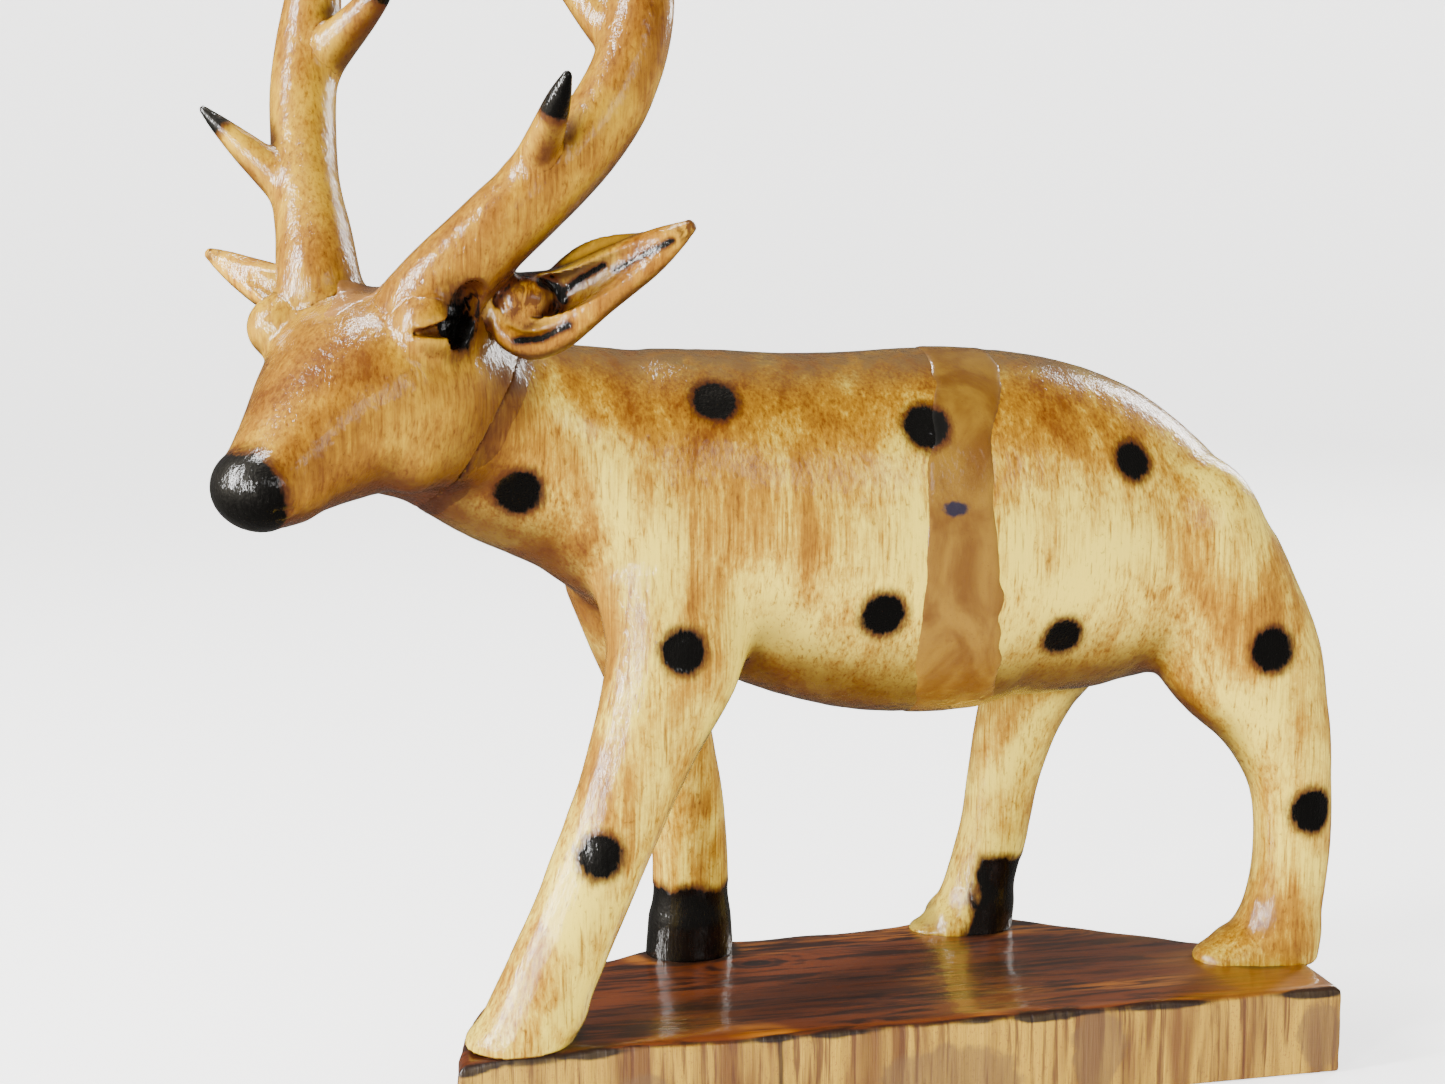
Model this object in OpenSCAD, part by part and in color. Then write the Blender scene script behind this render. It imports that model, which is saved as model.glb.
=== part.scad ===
// Carved wooden stag with branching antlers, standing on a half-log plinth.
// It faces -X, its left flank faces -Y, and the origin is the middle of the plinth's underside.

/* [Plinth] */
// length of the half-log plinth
plinth_length = 280; // [270:1:300]
// depth from the flat sawn face to the crown of the curved bark side
plinth_depth = 93; // [90:1:100]
// thickness of the plinth
plinth_thickness = 29; // [24:1:36]
// roundness of the worn top edge
lip_drop = 3; // [1.5:0.5:4]

/* [Figure] */
// half width of the barrel at its fullest
barrel_half_width = 38; // [35:0.5:41]
// girth of the legs against the carved original
leg_girth = 1; // [0.92:0.02:1.1]
// how far the head turns to the animal's left, in degrees
head_turn = 45; // [38:1:50]
// girth of the antler beams and tines against the carved original
antler_girth = 1; // [0.9:0.02:1.1]
// girth of the ears against the carved original
ear_girth = 1; // [0.9:0.02:1.1]

/* [Joinery] */
// where the front and rear blocks meet, from the middle of the plinth
joint_x = 20; // [14:1:26]
// width of the putty band over that joint
band_width = 25; // [20:1:28]
// depth of the putty under the wood surface
putty_depth = 2; // [1.6:0.1:2.6]
// how far the putty stands proud of the wood
putty_proud = 0.3; // [0.2:0.1:0.5]
// diameter of the dowels between the blocks and in the neck
body_dowel_diameter = 12; // [10:1:14]
// length of the dowels between the blocks
body_dowel_length = 50; // [40:1:56]
// length of the neck dowel
neck_dowel_length = 36; // [30:1:40]
// diameter of the dowels that hold the feet
foot_dowel_diameter = 8; // [6:1:9]
// how deep a foot dowel goes into the plinth and up the leg
foot_dowel_reach = 14; // [12:1:16]
// diameter of the tenon under each antler beam
antler_tenon_diameter = 10; // [8:1:11]
// length of the tenon under each antler beam
antler_tenon_length = 14; // [12:1:16]
// diameter of the small tenons of the tines and ears
small_tenon_diameter = 5; // [4:0.5:5.5]
// length of the small tenons of the tines and ears
small_tenon_length = 7; // [6:0.5:8]
// glue space around every dowel and tenon
glue_gap = 0.1; // [0.1:0.05:0.2]

/* [Hidden] */

wood = [0.80, 0.58, 0.27];
stained = [0.40, 0.20, 0.10];
putty = [0.55, 0.34, 0.17];
pale = [0.86, 0.74, 0.52];

top = plinth_thickness;
far_reach = 300;
half = 0.5;
round_fn = 32;
lump_fn = 14;
trunk_sides = 26;
neck_sides = 20;
head_sides = 22;
leg_sides = 16;
horn_sides = 14;

// Smooth curves through hand-set stations.
function unit(v) = v / norm(v);
function curve(a, b, c, d, t) = half * ((2 * b) + (c - a) * t + (2 * a - 5 * b + 4 * c - d) * t * t
  + (3 * b - a - 3 * c + d) * t * t * t);
function at(rows, i) = rows[max(0, min(len(rows) - 1, i))];
function smooth(rows, steps) = concat([for (i = [0 : len(rows) - 2], k = [0 : steps - 1])
  curve(at(rows, i - 1), at(rows, i), at(rows, i + 1), at(rows, i + 2), k / steps)], [at(rows, len(rows))]);
function spot(row) = [row[0], row[1], row[2]];
function heading(rows, i) = unit(spot(at(rows, i + 1)) - spot(at(rows, i - 1)));

// A station becomes [centre, heading, half width, half height]. Each end is closed by a dome of three rings.
dome_angles = [25, 50, 72];
function placed(rows, grow) = [for (i = [0 : len(rows) - 1])
  [spot(rows[i]), heading(rows, i), rows[i][3] + grow, rows[i][4] + grow]];
function cap(s, way) = [for (g = dome_angles)
  [s[0] + way * s[1] * min(s[2], s[3]) * sin(g), s[1], s[2] * cos(g), s[3] * cos(g)]];
function backwards(list) = [for (i = [len(list) - 1 : -1 : 0]) list[i]];
function domed(s) = concat(backwards(cap(s[0], -1)), s, cap(s[len(s) - 1], 1));
function across(heading, side) = unit(side - heading * (side * heading));
function ring(s, side, sides) = let (a = across(s[1], side), b = cross(s[1], a))
  [for (k = [0 : sides - 1]) s[0] + a * s[2] * cos(360 * k / sides) + b * s[3] * sin(360 * k / sides)];

// A limb is a smooth tapering tube through stations [x, y, z, half width, half height].
limb_steps = 3;
module limb(rows, side = [0, 1, 0], sides = neck_sides, grow = 0) {
  stations = domed(placed(smooth(rows, limb_steps), grow));
  rings = len(stations);
  points = [for (s = stations) each ring(s, side, sides)];
  walls = [for (i = [0 : rings - 2], k = [0 : sides - 1]) let (n = (k + 1) % sides)
    each [[i * sides + k, (i + 1) * sides + k, i * sides + n],
      [i * sides + n, (i + 1) * sides + k, (i + 1) * sides + n]]];
  first = [for (k = [0 : sides - 1]) k];
  last = [for (k = [sides - 1 : -1 : 0]) (rings - 1) * sides + k];
  polyhedron(points = points, faces = concat(walls, [first, last]), convexity = 6);
}

// A rounded lump, used for muscles, brows and feet.
module lump(centre, size) {
  translate(centre)
    scale(size)
      sphere(r = 1, $fn = lump_fn);
}

// Two lumps with the wood between them: [centre, size, centre, size].
module muscle(m) {
  hull() {
    lump(m[0], m[1]);
    lump(m[2], m[3]);
  }
}

// A straight peg or its hole from one point toward another.
module peg(from, toward, length, radius) {
  d = unit(toward - from);
  translate(from)
    rotate([0, acos(d[2]), atan2(d[1], d[0])])
      cylinder(r = radius, h = length, $fn = round_fn);
}

// The barrel: stations [x, y, z above the plinth, half width, half height].
carved_half_width = 38;
fullness = barrel_half_width / carved_half_width;
barrel_rows = [
  [-97, 6, 168, 22 * fullness, 31],
  [-83, 7, 162, 30 * fullness, 38],
  [-65, 8.5, 157, 35 * fullness, 45],
  [-40, 10, 149.5, 37 * fullness, 51],
  [-10, 12.5, 143.5, 38 * fullness, 56.5],
  [20, 15, 142, 38 * fullness, 58],
  [45, 17, 142, 37.5 * fullness, 55.5],
  [68, 18.5, 137.5, 36 * fullness, 52],
  [88, 20, 131, 33 * fullness, 45.5],
  [103, 21, 124.5, 28 * fullness, 37],
  [116, 21.5, 118, 22 * fullness, 26]
];

// The neck: from the shoulders up to the back of the head.
neck_rows = [
  [-78, 8, 163, 29, 38],
  [-97, 6, 168, 27, 34],
  [-114, 1, 173, 24, 31.5],
  [-130, -5, 180, 21.5, 29],
  [-143, -10, 187, 20, 26],
  [-152, -14, 191, 18, 22]
];

// The legs, from the hip or shoulder down into the plinth.
leg_near_front = [
  [-71, -10, 132, 15, 23],
  [-71, -14, 112, 15, 21],
  [-80, -17, 88, 13.5, 16.5],
  [-90, -19, 64, 12.5, 14],
  [-101, -21, 38, 12.5, 13.5],
  [-112, -23, 15, 12.5, 13.5],
  [-120, -24, -2, 12.5, 14]
];
leg_far_front = [
  [-84, 23, 130, 13, 15],
  [-76, 28, 108, 12.5, 14],
  [-66, 34, 85, 12, 13.5],
  [-59.5, 38, 60, 11, 13],
  [-56, 40.5, 36, 10.5, 12.7],
  [-55.5, 41, 14, 10.5, 13],
  [-56, 41, -2, 10.5, 13.5]
];
leg_near_rear = [
  [107, 5, 122, 17, 28],
  [121, 2, 98, 16, 26],
  [131, -1, 78, 13.5, 18.5],
  [136.5, -2, 58, 12, 13.6],
  [138, -2, 38, 11.5, 12.6],
  [136, -2, 18, 11.5, 12.8],
  [131, -2, -2, 12, 15]
];
leg_far_rear = [
  [75, 33, 116, 14, 22],
  [65.5, 37, 94, 13, 17.5],
  [58.5, 41, 74, 12, 14.5],
  [54.5, 44, 54, 11, 12.4],
  [52, 45.5, 34, 10.5, 11.8],
  [47, 46, 14, 10.5, 12.2],
  [43.5, 46, -2, 10.5, 14]
];

// Where each foot meets the plinth.
foot_near_front = [-118.5, -24, 0];
foot_far_front = [-56, 41, 0];
foot_near_rear = [131.5, -2, 0];
foot_far_rear = [43.5, 46, 0];

// The head sits in its own frame: forward is +X, the animal's left is +Y.
head_centre = [-156.5, -14, 191];
head_rows = [
  [-32, 0, -1, 21, 20],
  [-22, 0, -1, 30, 27],
  [-8, 0, -1, 34, 29.5],
  [6, 0, -3, 32.5, 28],
  [17, 0, -8, 27.5, 24],
  [27, 0, -13.5, 22, 19.5],
  [36, 0, -18.5, 17.5, 15.5],
  [43, 0, -22, 14.5, 12.6],
  [47, 0, -23.5, 13, 11]
];
function to_world(p) = let (c = cos(180 + head_turn), s = sin(180 + head_turn))
  head_centre + [c * p[0] - s * p[1], s * p[0] + c * p[1], p[2]];

// The neck joint is a plane tilted back from the poll to the throat.
neck_joint = [-129, -6, 183];
neck_axis = unit([-0.8, -0.12, 0.5]);

// Antlers: beams from the brow to the tips, tines branching from them.
function grown(rows, k) = [for (r = rows) [r[0], r[1], r[2], r[3] * k, r[3] * k]];
beam_left = grown([
  [-144, -27, 214, 12.5],
  [-137, -28.5, 222, 12],
  [-125, -30, 234, 11.3],
  [-112, -29.5, 246, 11],
  [-99, -28, 259, 10.6],
  [-89, -26, 274, 10],
  [-83, -23, 290, 9.6],
  [-81, -20, 305, 8.4],
  [-83, -16, 320, 7.2],
  [-88, -12, 334, 5.6],
  [-95, -8, 346, 3.8],
  [-100, -5, 354, 1.9]
], antler_girth);
beam_right = grown([
  [-171, -1, 213, 12.5],
  [-171.5, 0, 222, 12],
  [-172.5, 7, 234, 10.8],
  [-174, 15, 247, 9.9],
  [-174.5, 24, 261, 9.5],
  [-174, 32, 276, 9.6],
  [-172, 38, 291, 9.4],
  [-170, 41, 306, 8.3],
  [-169, 42, 321, 7],
  [-166, 40, 335, 5.4],
  [-161, 36, 346, 3.6],
  [-156, 33, 353, 1.8]
], antler_girth);
tine_brow_left = grown([
  [-115, -31, 249, 6.8],
  [-113, -36, 255, 5.8],
  [-110.5, -43, 263, 4.6],
  [-108.5, -49, 270, 3.2],
  [-107, -53, 275, 1.5]
], antler_girth);
tine_brow_right = grown([
  [-174, 15, 245, 7.6],
  [-183, 16.5, 252, 6],
  [-191, 18, 259, 4.6],
  [-198, 19.5, 265.5, 3],
  [-202.5, 20.5, 270, 1.5]
], antler_girth);
tine_upper_left = grown([
  [-86, -21.5, 286.5, 7],
  [-91, -17.5, 293, 6.6],
  [-98, -12, 302, 5.2],
  [-104, -7.5, 310, 3.6],
  [-108.5, -4, 316, 1.7]
], antler_girth);
tine_upper_right = grown([
  [-170, 35, 284.5, 7],
  [-165, 31, 290, 6.6],
  [-158, 25, 297, 5.2],
  [-152, 19.5, 303.5, 3.6],
  [-148, 16, 308, 1.7]
], antler_girth);

// Ears: stations [x, y, z, half width, half thickness].
function ear_grown(rows) = [for (r = rows) [r[0], r[1], r[2], r[3] * ear_girth, r[4] * ear_girth]];
ear_left_rows = ear_grown([
  [-121, -25, 214, 9.5, 9],
  [-113, -27, 214, 10, 9],
  [-103, -31, 217, 9, 7.5],
  [-92, -35, 223, 8.5, 5.6],
  [-81, -39, 230, 6.2, 3.8],
  [-72, -42, 236, 2.2, 1.7]
]);
ear_right_rows = ear_grown([
  [-169, 17, 212, 9, 8.5],
  [-174, 24, 214, 9, 8],
  [-181, 31, 217, 8, 6.5],
  [-189, 38, 221, 6.6, 4.6],
  [-197, 44, 225.5, 4.4, 3],
  [-203, 49, 229, 1.9, 1.5]
]);
ear_side = [0.2, 0.3, 1];

// ---------- whole carved forms, before they are cut into pieces ----------

module on_plinth() {
  translate([0, 0, top])
    children();
}

module above_plinth() {
  intersection() {
    on_plinth()
      children();
    translate([-far_reach, -far_reach, top])
      cube([2 * far_reach, 2 * far_reach, 2 * far_reach]);
  }
}

module barrel(grow = 0) {
  limb(barrel_rows, sides = trunk_sides, grow = grow);
}

module neck(grow = 0) {
  limb(neck_rows, sides = neck_sides, grow = grow);
}

module leg(rows) {
  girthed = [for (r = rows) [r[0], r[1], r[2], r[3] * leg_girth, r[4] * leg_girth]];
  limb(girthed, sides = leg_sides);
}

// Muscles and hooves of the front block.
near_shoulder = [[-69, -11, 150], [20, 14, 26], [-71, -13, 116], [17, 12, 22]];
far_shoulder = [[-68, 26, 142], [18, 13, 24], [-71, 28, 110], [13, 12, 18]];
chest = [[-79, 7, 138], [13, 18, 16], [-59, 10, 116], [14, 20, 14]];
near_withers = [[-84, -6, 164], [18, 16, 24], [-66, -10, 146], [16, 14, 22]];
far_withers = [[-84, 20, 164], [18, 16, 24], [-66, 26, 146], [16, 14, 22]];
hoof_near_front = [foot_near_front + [-3, 1, 0], [14, 12.5, 5], foot_near_front + [4, 1, 8], [13, 12, 8]];
hoof_far_front = [foot_far_front, [13.5, 11, 4], foot_far_front + [0, 0, 10], [12.8, 10.8, 8]];
module front_form() {
  neck();
  leg(leg_near_front);
  leg(leg_far_front);
  for (m = [near_shoulder, far_shoulder, chest, near_withers, far_withers, hoof_near_front, hoof_far_front])
    muscle(m);
}

// Muscles, hooves and the short tail of the rear block.
near_haunch = [[102, 3, 136], [24, 18, 29], [125.5, 1, 96], [19, 14, 20]];
far_haunch = [[92, 36, 130], [24, 16, 27], [71, 38, 98], [16, 12, 16]];
toe_near_rear = [foot_near_rear + [2, 0, 0], [12, 12.5, 5], foot_near_rear + [-18, -1, 0], [9, 9, 5]];
hoof_near_rear = [foot_near_rear + [4, 0, 8], [11.5, 11.5, 8], foot_near_rear + [-10, 0, 4], [9, 9, 5]];
toe_far_rear = [foot_far_rear + [2, 0, 0], [12, 11, 4], foot_far_rear + [-14, -1, 0], [9, 9, 4]];
hoof_far_rear = [foot_far_rear + [3, 0, 8], [12, 10.5, 8], foot_far_rear + [-7, 0, 4], [9, 9, 5]];
tail = [[111, 22, 148], [6, 6, 12], [121, 22, 126], [4, 5, 12]];
module rear_form() {
  leg(leg_near_rear);
  leg(leg_far_rear);
  for (m = [near_haunch, far_haunch, toe_near_rear, hoof_near_rear, toe_far_rear, hoof_far_rear, tail])
    muscle(m);
}

module in_head_frame() {
  translate(head_centre)
    rotate([0, 0, 180 + head_turn])
      children();
}

// Brows, cheeks and muzzle, in the head's own frame.
left_brow = [[7, 25, 17], [9, 8.5, 9], [-7, 24, 17], [9, 8, 8]];
right_brow = [[12, -25.5, 17], [9, 9, 9], [-4, -23, 18], [9, 8, 8]];
left_cheek = [[-19, 24, -8], [14, 12, 18], [6, 18, -15], [13, 10, 13]];
right_cheek = [[-19, -24, -8], [14, 12, 18], [6, -18, -15], [13, 10, 13]];
muzzle = [[46, 0, -24], [7.5, 12.8, 10.5], [38, 0, -23], [8, 13.5, 11]];
module head_form(grow = 0) {
  in_head_frame() {
    limb(head_rows, sides = head_sides, grow = grow);
    for (m = [left_brow, right_brow, left_cheek, right_cheek, muzzle])
      muscle(m);
  }
}

// An eye is a burnt hollow with a narrow tear line running forward from it.
eye_socket = [[5, 33.5, 20], [5.5, 5, 8], [-1, 34, 21], [5, 5, 7.5]];
tear_line = [[5, 33, 19], [4, 4, 5], [17, 29, 15], [1.2, 2.4, 1.2]];
module eye_hollow(way) {
  in_head_frame()
    scale([1, way, 1]) {
      muscle(eye_socket);
      muscle(tear_line);
    }
}

// Half-spaces: ahead of the body joint, and on the head side of the neck joint.
module ahead_of_joint() {
  translate([joint_x - far_reach, -far_reach, -far_reach])
    cube([far_reach, 2 * far_reach, 2 * far_reach]);
}

module head_side(shift = 0) {
  tilt = [0, acos(neck_axis[2]), atan2(neck_axis[1], neck_axis[0])];
  translate(neck_joint + neck_axis * shift)
    rotate(tilt)
      translate([-far_reach, -far_reach, 0])
        cube([2 * far_reach, 2 * far_reach, far_reach]);
}

// The putty band runs wavy-edged round the barrel over the joint.
band_wander = 2.5;
band_base = 60;
band_shoulder = 165;
band_block = 60;
module band_zone() {
  for (side = [-1, 1])
    hull() {
      translate([joint_x - band_width * half + side * band_wander * half, -far_reach * half, band_shoulder])
        cube([band_width, far_reach, band_block]);
      translate([joint_x - band_width * half - side * band_wander * half, -far_reach * half, band_base])
        cube([band_width, far_reach, band_block]);
    }
}

collar_width = 10;
module collar_zone() {
  difference() {
    head_side(-collar_width);
    head_side();
  }
}

brow_patch = [[6, 0, 30], [9, 8, 9], [0, 0, 31], [8, 7, 8]];
module brow_zone() {
  in_head_frame()
    muscle(brow_patch);
}

// Pegs and holes. A hole runs past its peg's end by end_room glue gaps.
dowel_heights = [168, 120];
dowel_line = 15;
end_room = 3;
small_set_back = 3;
module body_dowel(height, gap = 0) {
  room = end_room * gap;
  translate([joint_x - body_dowel_length * half - room, dowel_line, height])
    rotate([0, 90, 0])
      cylinder(r = body_dowel_diameter * half + gap, h = body_dowel_length + 2 * room, $fn = round_fn);
}

module neck_dowel_shape(gap = 0) {
  room = end_room * gap;
  start = neck_joint - neck_axis * (neck_dowel_length * half + room);
  peg(start, neck_joint, neck_dowel_length + 2 * room, body_dowel_diameter * half + gap);
}

module foot_dowel(foot, gap = 0) {
  reach = foot_dowel_reach + end_room * gap;
  translate(foot - [0, 0, reach])
    cylinder(r = foot_dowel_diameter * half + gap, h = 2 * reach, $fn = round_fn);
}

module antler_tenon(rows, gap = 0) {
  start = spot(rows[1]);
  root = spot(rows[0]);
  peg(start, root, norm(start - root) + antler_tenon_length + end_room * gap,
    antler_tenon_diameter * half + gap);
}

module small_tenon(rows, gap = 0) {
  start = spot(rows[1]);
  root = spot(rows[0]);
  peg(start, root, norm(start - root) + small_tenon_length - small_set_back + end_room * gap,
    small_tenon_diameter * half + gap);
}

// ---------- the pieces ----------

// Half-log outline: flat sawn face in front, gently irregular curve behind.
carved_depth = 93;
depth_ratio = plinth_depth / carved_depth;
half_length = plinth_length * half;
near_face = -36;
bark_side = smooth([
  [1.0, -10, 0],
  [0.96, 2, 0],
  [0.8, 17, 0],
  [0.62, 32, 0],
  [0.45, 49, 0],
  [0.3, 57, 0],
  [0.12, 53, 0],
  [-0.08, 50, 0],
  [-0.26, 50, 0],
  [-0.38, 52, 0],
  [-0.48, 49, 0],
  [-0.6, 39.5, 0],
  [-0.74, 31, 0],
  [-0.9, 12, 0],
  [-0.96, -6, 0],
  [-0.99, -26, 0]
], limb_steps);
function plan(inset) = let (k = 1 - inset / half_length) concat(
  [[-half_length * k, near_face + inset], [half_length * k, near_face + inset]],
  [for (p = bark_side) [p[0] * (half_length - inset), near_face + (p[1] - near_face) * depth_ratio
    - (p[1] > 0 ? inset : 0)]]);

// Each layer is [height, inset]: a broken bottom edge, a straight side, then the worn lip.
bottom_break = [1.2, 1];
lip_middle = 0.4;
lip_inset = [0.9, 3];
module plinth() {
  layers = [[0, bottom_break[1]], [bottom_break[0], 0], [top - lip_drop, 0],
    [top - lip_drop * lip_middle, lip_inset[0]], [top, lip_inset[1]]];
  sides = len(plan(0));
  points = [for (l = layers) each [for (p = plan(l[1])) [p[0], p[1], l[0]]]];
  walls = [for (i = [0 : len(layers) - 2], k = [0 : sides - 1]) let (n = (k + 1) % sides)
    each [[i * sides + k, (i + 1) * sides + k, i * sides + n],
      [i * sides + n, (i + 1) * sides + k, (i + 1) * sides + n]]];
  floor_face = [for (k = [0 : sides - 1]) k];
  top_face = [for (k = [sides - 1 : -1 : 0]) (len(layers) - 1) * sides + k];
  color(stained)
    difference() {
      polyhedron(points = points, faces = concat(walls, [floor_face, top_face]), convexity = 4);
      on_plinth()
        for (f = [foot_near_front, foot_far_front, foot_near_rear, foot_far_rear])
          foot_dowel(f, glue_gap);
    }
}

module body_front() {
  color(wood)
    difference() {
      above_plinth() {
        front_form();
        intersection() {
          barrel();
          ahead_of_joint();
        }
      }
      on_plinth() {
        head_side();
        difference() {
          band_zone();
          barrel(-putty_depth);
        }
        difference() {
          collar_zone();
          neck(-putty_depth);
        }
        foot_dowel(foot_near_front, glue_gap);
        foot_dowel(foot_far_front, glue_gap);
        for (h = dowel_heights)
          body_dowel(h, glue_gap);
        neck_dowel_shape(glue_gap);
      }
    }
}

module body_rear() {
  color(wood)
    difference() {
      above_plinth() {
        rear_form();
        difference() {
          barrel();
          ahead_of_joint();
        }
      }
      on_plinth() {
        difference() {
          band_zone();
          barrel(-putty_depth);
        }
        foot_dowel(foot_near_rear, glue_gap);
        foot_dowel(foot_far_rear, glue_gap);
        for (h = dowel_heights)
          body_dowel(h, glue_gap);
      }
    }
}

module head() {
  color(wood)
    on_plinth()
      difference() {
        intersection() {
          union() {
            neck();
            head_form();
          }
          head_side();
        }
        eye_hollow(1);
        eye_hollow(-1);
        difference() {
          brow_zone();
          head_form(-putty_depth);
        }
        neck_dowel_shape(glue_gap);
        antler_tenon(beam_left, glue_gap);
        antler_tenon(beam_right, glue_gap);
        small_tenon(ear_left_rows, glue_gap);
        small_tenon(ear_right_rows, glue_gap);
      }
}

beam_side = [0, 1, 0.2];
tine_side = [0.1, 0.9, 0.3];
module beam(rows, tines) {
  color(wood)
    on_plinth() {
      difference() {
        limb(rows, side = beam_side, sides = horn_sides);
        head_form();
        neck();
        for (t = tines)
          small_tenon(t, glue_gap);
      }
      antler_tenon(rows);
    }
}

module antler_beam_left() {
  beam(beam_left, [tine_brow_left, tine_upper_left]);
}

module antler_beam_right() {
  beam(beam_right, [tine_brow_right, tine_upper_right]);
}

module tine(rows, beam_rows) {
  color(wood)
    on_plinth() {
      difference() {
        limb(rows, side = tine_side, sides = horn_sides);
        limb(beam_rows, side = beam_side, sides = horn_sides);
      }
      small_tenon(rows);
    }
}

module brow_tine_left() {
  tine(tine_brow_left, beam_left);
}

module brow_tine_right() {
  tine(tine_brow_right, beam_right);
}

module upper_tine_left() {
  tine(tine_upper_left, beam_left);
}

module upper_tine_right() {
  tine(tine_upper_right, beam_right);
}

// The hollow of an ear narrows from root to tip; hollow_shift moves it to the open side.
hollow_root = [6, 6, 5];
hollow_middle = [4.5, 4, 3];
hollow_tip = [2, 2, 1.5];
module ear(rows, hollow_shift) {
  color(wood)
    on_plinth() {
      difference() {
        limb(rows, side = ear_side, sides = horn_sides);
        muscle([spot(rows[1]) + hollow_shift, hollow_root, spot(rows[3]) + hollow_shift, hollow_middle]);
        muscle([spot(rows[3]) + hollow_shift, hollow_middle, spot(rows[4]) + hollow_shift, hollow_tip]);
        head_form();
        neck(2 * putty_proud);
        limb(beam_left, side = beam_side, sides = horn_sides);
        limb(beam_right, side = beam_side, sides = horn_sides);
      }
      small_tenon(rows);
    }
}

left_hollow_shift = [1, -6, 3];
right_hollow_shift = [-3, -5, 2];
module ear_left() {
  ear(ear_left_rows, left_hollow_shift);
}

module ear_right() {
  ear(ear_right_rows, right_hollow_shift);
}

module flank_filler() {
  color(putty)
    on_plinth()
      difference() {
        intersection() {
          barrel(putty_proud);
          band_zone();
        }
        barrel(-putty_depth);
      }
}

module neck_filler() {
  color(putty)
    on_plinth()
      difference() {
        intersection() {
          neck(putty_proud);
          collar_zone();
        }
        neck(-putty_depth);
      }
}

module brow_filler() {
  color(putty)
    on_plinth()
      difference() {
        intersection() {
          head_form();
          brow_zone();
        }
        head_form(-putty_depth);
      }
}

module body_dowel_upper() {
  color(pale)
    on_plinth()
      body_dowel(dowel_heights[0]);
}

module body_dowel_lower() {
  color(pale)
    on_plinth()
      body_dowel(dowel_heights[1]);
}

module neck_dowel() {
  color(pale)
    on_plinth()
      neck_dowel_shape();
}

module foot_dowel_front_left() {
  color(pale)
    on_plinth()
      foot_dowel(foot_near_front);
}

module foot_dowel_front_right() {
  color(pale)
    on_plinth()
      foot_dowel(foot_far_front);
}

module foot_dowel_rear_left() {
  color(pale)
    on_plinth()
      foot_dowel(foot_near_rear);
}

module foot_dowel_rear_right() {
  color(pale)
    on_plinth()
      foot_dowel(foot_far_rear);
}

plinth();
body_front();
body_rear();
head();
antler_beam_left();
antler_beam_right();
brow_tine_left();
brow_tine_right();
upper_tine_left();
upper_tine_right();
ear_left();
ear_right();
flank_filler();
neck_filler();
brow_filler();
body_dowel_upper();
body_dowel_lower();
neck_dowel();
foot_dowel_front_left();
foot_dowel_front_right();
foot_dowel_rear_left();
foot_dowel_rear_right();
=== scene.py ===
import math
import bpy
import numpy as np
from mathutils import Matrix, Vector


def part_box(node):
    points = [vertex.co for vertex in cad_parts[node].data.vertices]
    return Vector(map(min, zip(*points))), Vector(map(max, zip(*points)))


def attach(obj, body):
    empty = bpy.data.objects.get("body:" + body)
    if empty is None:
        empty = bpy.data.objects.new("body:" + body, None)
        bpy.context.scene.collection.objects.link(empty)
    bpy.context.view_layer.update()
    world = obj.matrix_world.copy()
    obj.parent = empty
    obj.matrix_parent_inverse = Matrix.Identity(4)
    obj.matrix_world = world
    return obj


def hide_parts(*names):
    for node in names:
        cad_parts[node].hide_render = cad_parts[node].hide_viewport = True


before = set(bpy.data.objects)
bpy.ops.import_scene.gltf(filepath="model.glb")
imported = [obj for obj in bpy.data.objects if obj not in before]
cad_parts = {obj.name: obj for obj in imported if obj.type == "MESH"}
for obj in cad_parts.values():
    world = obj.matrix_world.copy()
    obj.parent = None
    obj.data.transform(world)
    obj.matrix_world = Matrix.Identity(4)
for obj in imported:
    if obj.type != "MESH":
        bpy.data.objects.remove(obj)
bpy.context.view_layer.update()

# %% [markdown]
# # A carved stag in lacquered wood
# The statue is a knocked-together carving: two blocks for the body, one for the head, four legs grown out of
# the body blocks, antlers and ears let in with pegs, and putty over the joints. The whole is stood on half a
# log. Everything here is shaped like clay first, as one soft volume made of tapering limbs and swollen
# muscles, and then parted into the pieces that the carver would have had on the bench.

MM = 0.001

# %% [markdown]
# All lengths below are in millimetres, with heights counted from the top of the plinth, as a carver would
# measure them. The top of the plinth comes from the plain model, so the two always agree.

# %% Where the plinth top and the joints are
plinth_low, plinth_high = [np.array(v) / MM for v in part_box("plinth")]
TOP = plinth_high[2]
joint_x = float(np.array(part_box("body_front"))[1][0] / MM)
print("plinth top at", round(TOP, 1), "mm, body joint at x =", round(joint_x, 1))


# %% [markdown]
# ## Limbs and muscles
# A limb is a row of stations, each a centre with a half width and a half height, joined by a smooth curve. A
# muscle is a swelling between two rounded lumps. Both come down to one shape: an egg that slides from one
# place to another while its three radii change.

# %% Limbs and muscles as sliding eggs
def unit(v):
    v = np.asarray(v, float)
    return v / np.linalg.norm(v)


def smooth(rows, steps=4):
    """More stations along a smooth curve through the given ones."""
    rows = np.asarray(rows, float)
    out = []
    for i in range(len(rows) - 1):
        a, b, c, d = rows[max(i - 1, 0)], rows[i], rows[i + 1], rows[min(i + 2, len(rows) - 1)]
        for t in np.arange(steps) / steps:
            out.append(0.5 * (2 * b + (c - a) * t + (2 * a - 5 * b + 4 * c - d) * t**2
                              + (3 * b - a - 3 * c + d) * t**3))
    return np.array(out + [rows[-1]])


def egg(c1, r1, c2, r2, axes=np.eye(3)):
    """A lump that slides from c1 to c2 while its radii change; axes holds their directions."""
    return {"c1": np.array(c1, float), "r1": np.array(r1, float), "c2": np.array(c2, float),
            "r2": np.array(r2, float), "axes": np.array(axes, float)}


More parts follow.
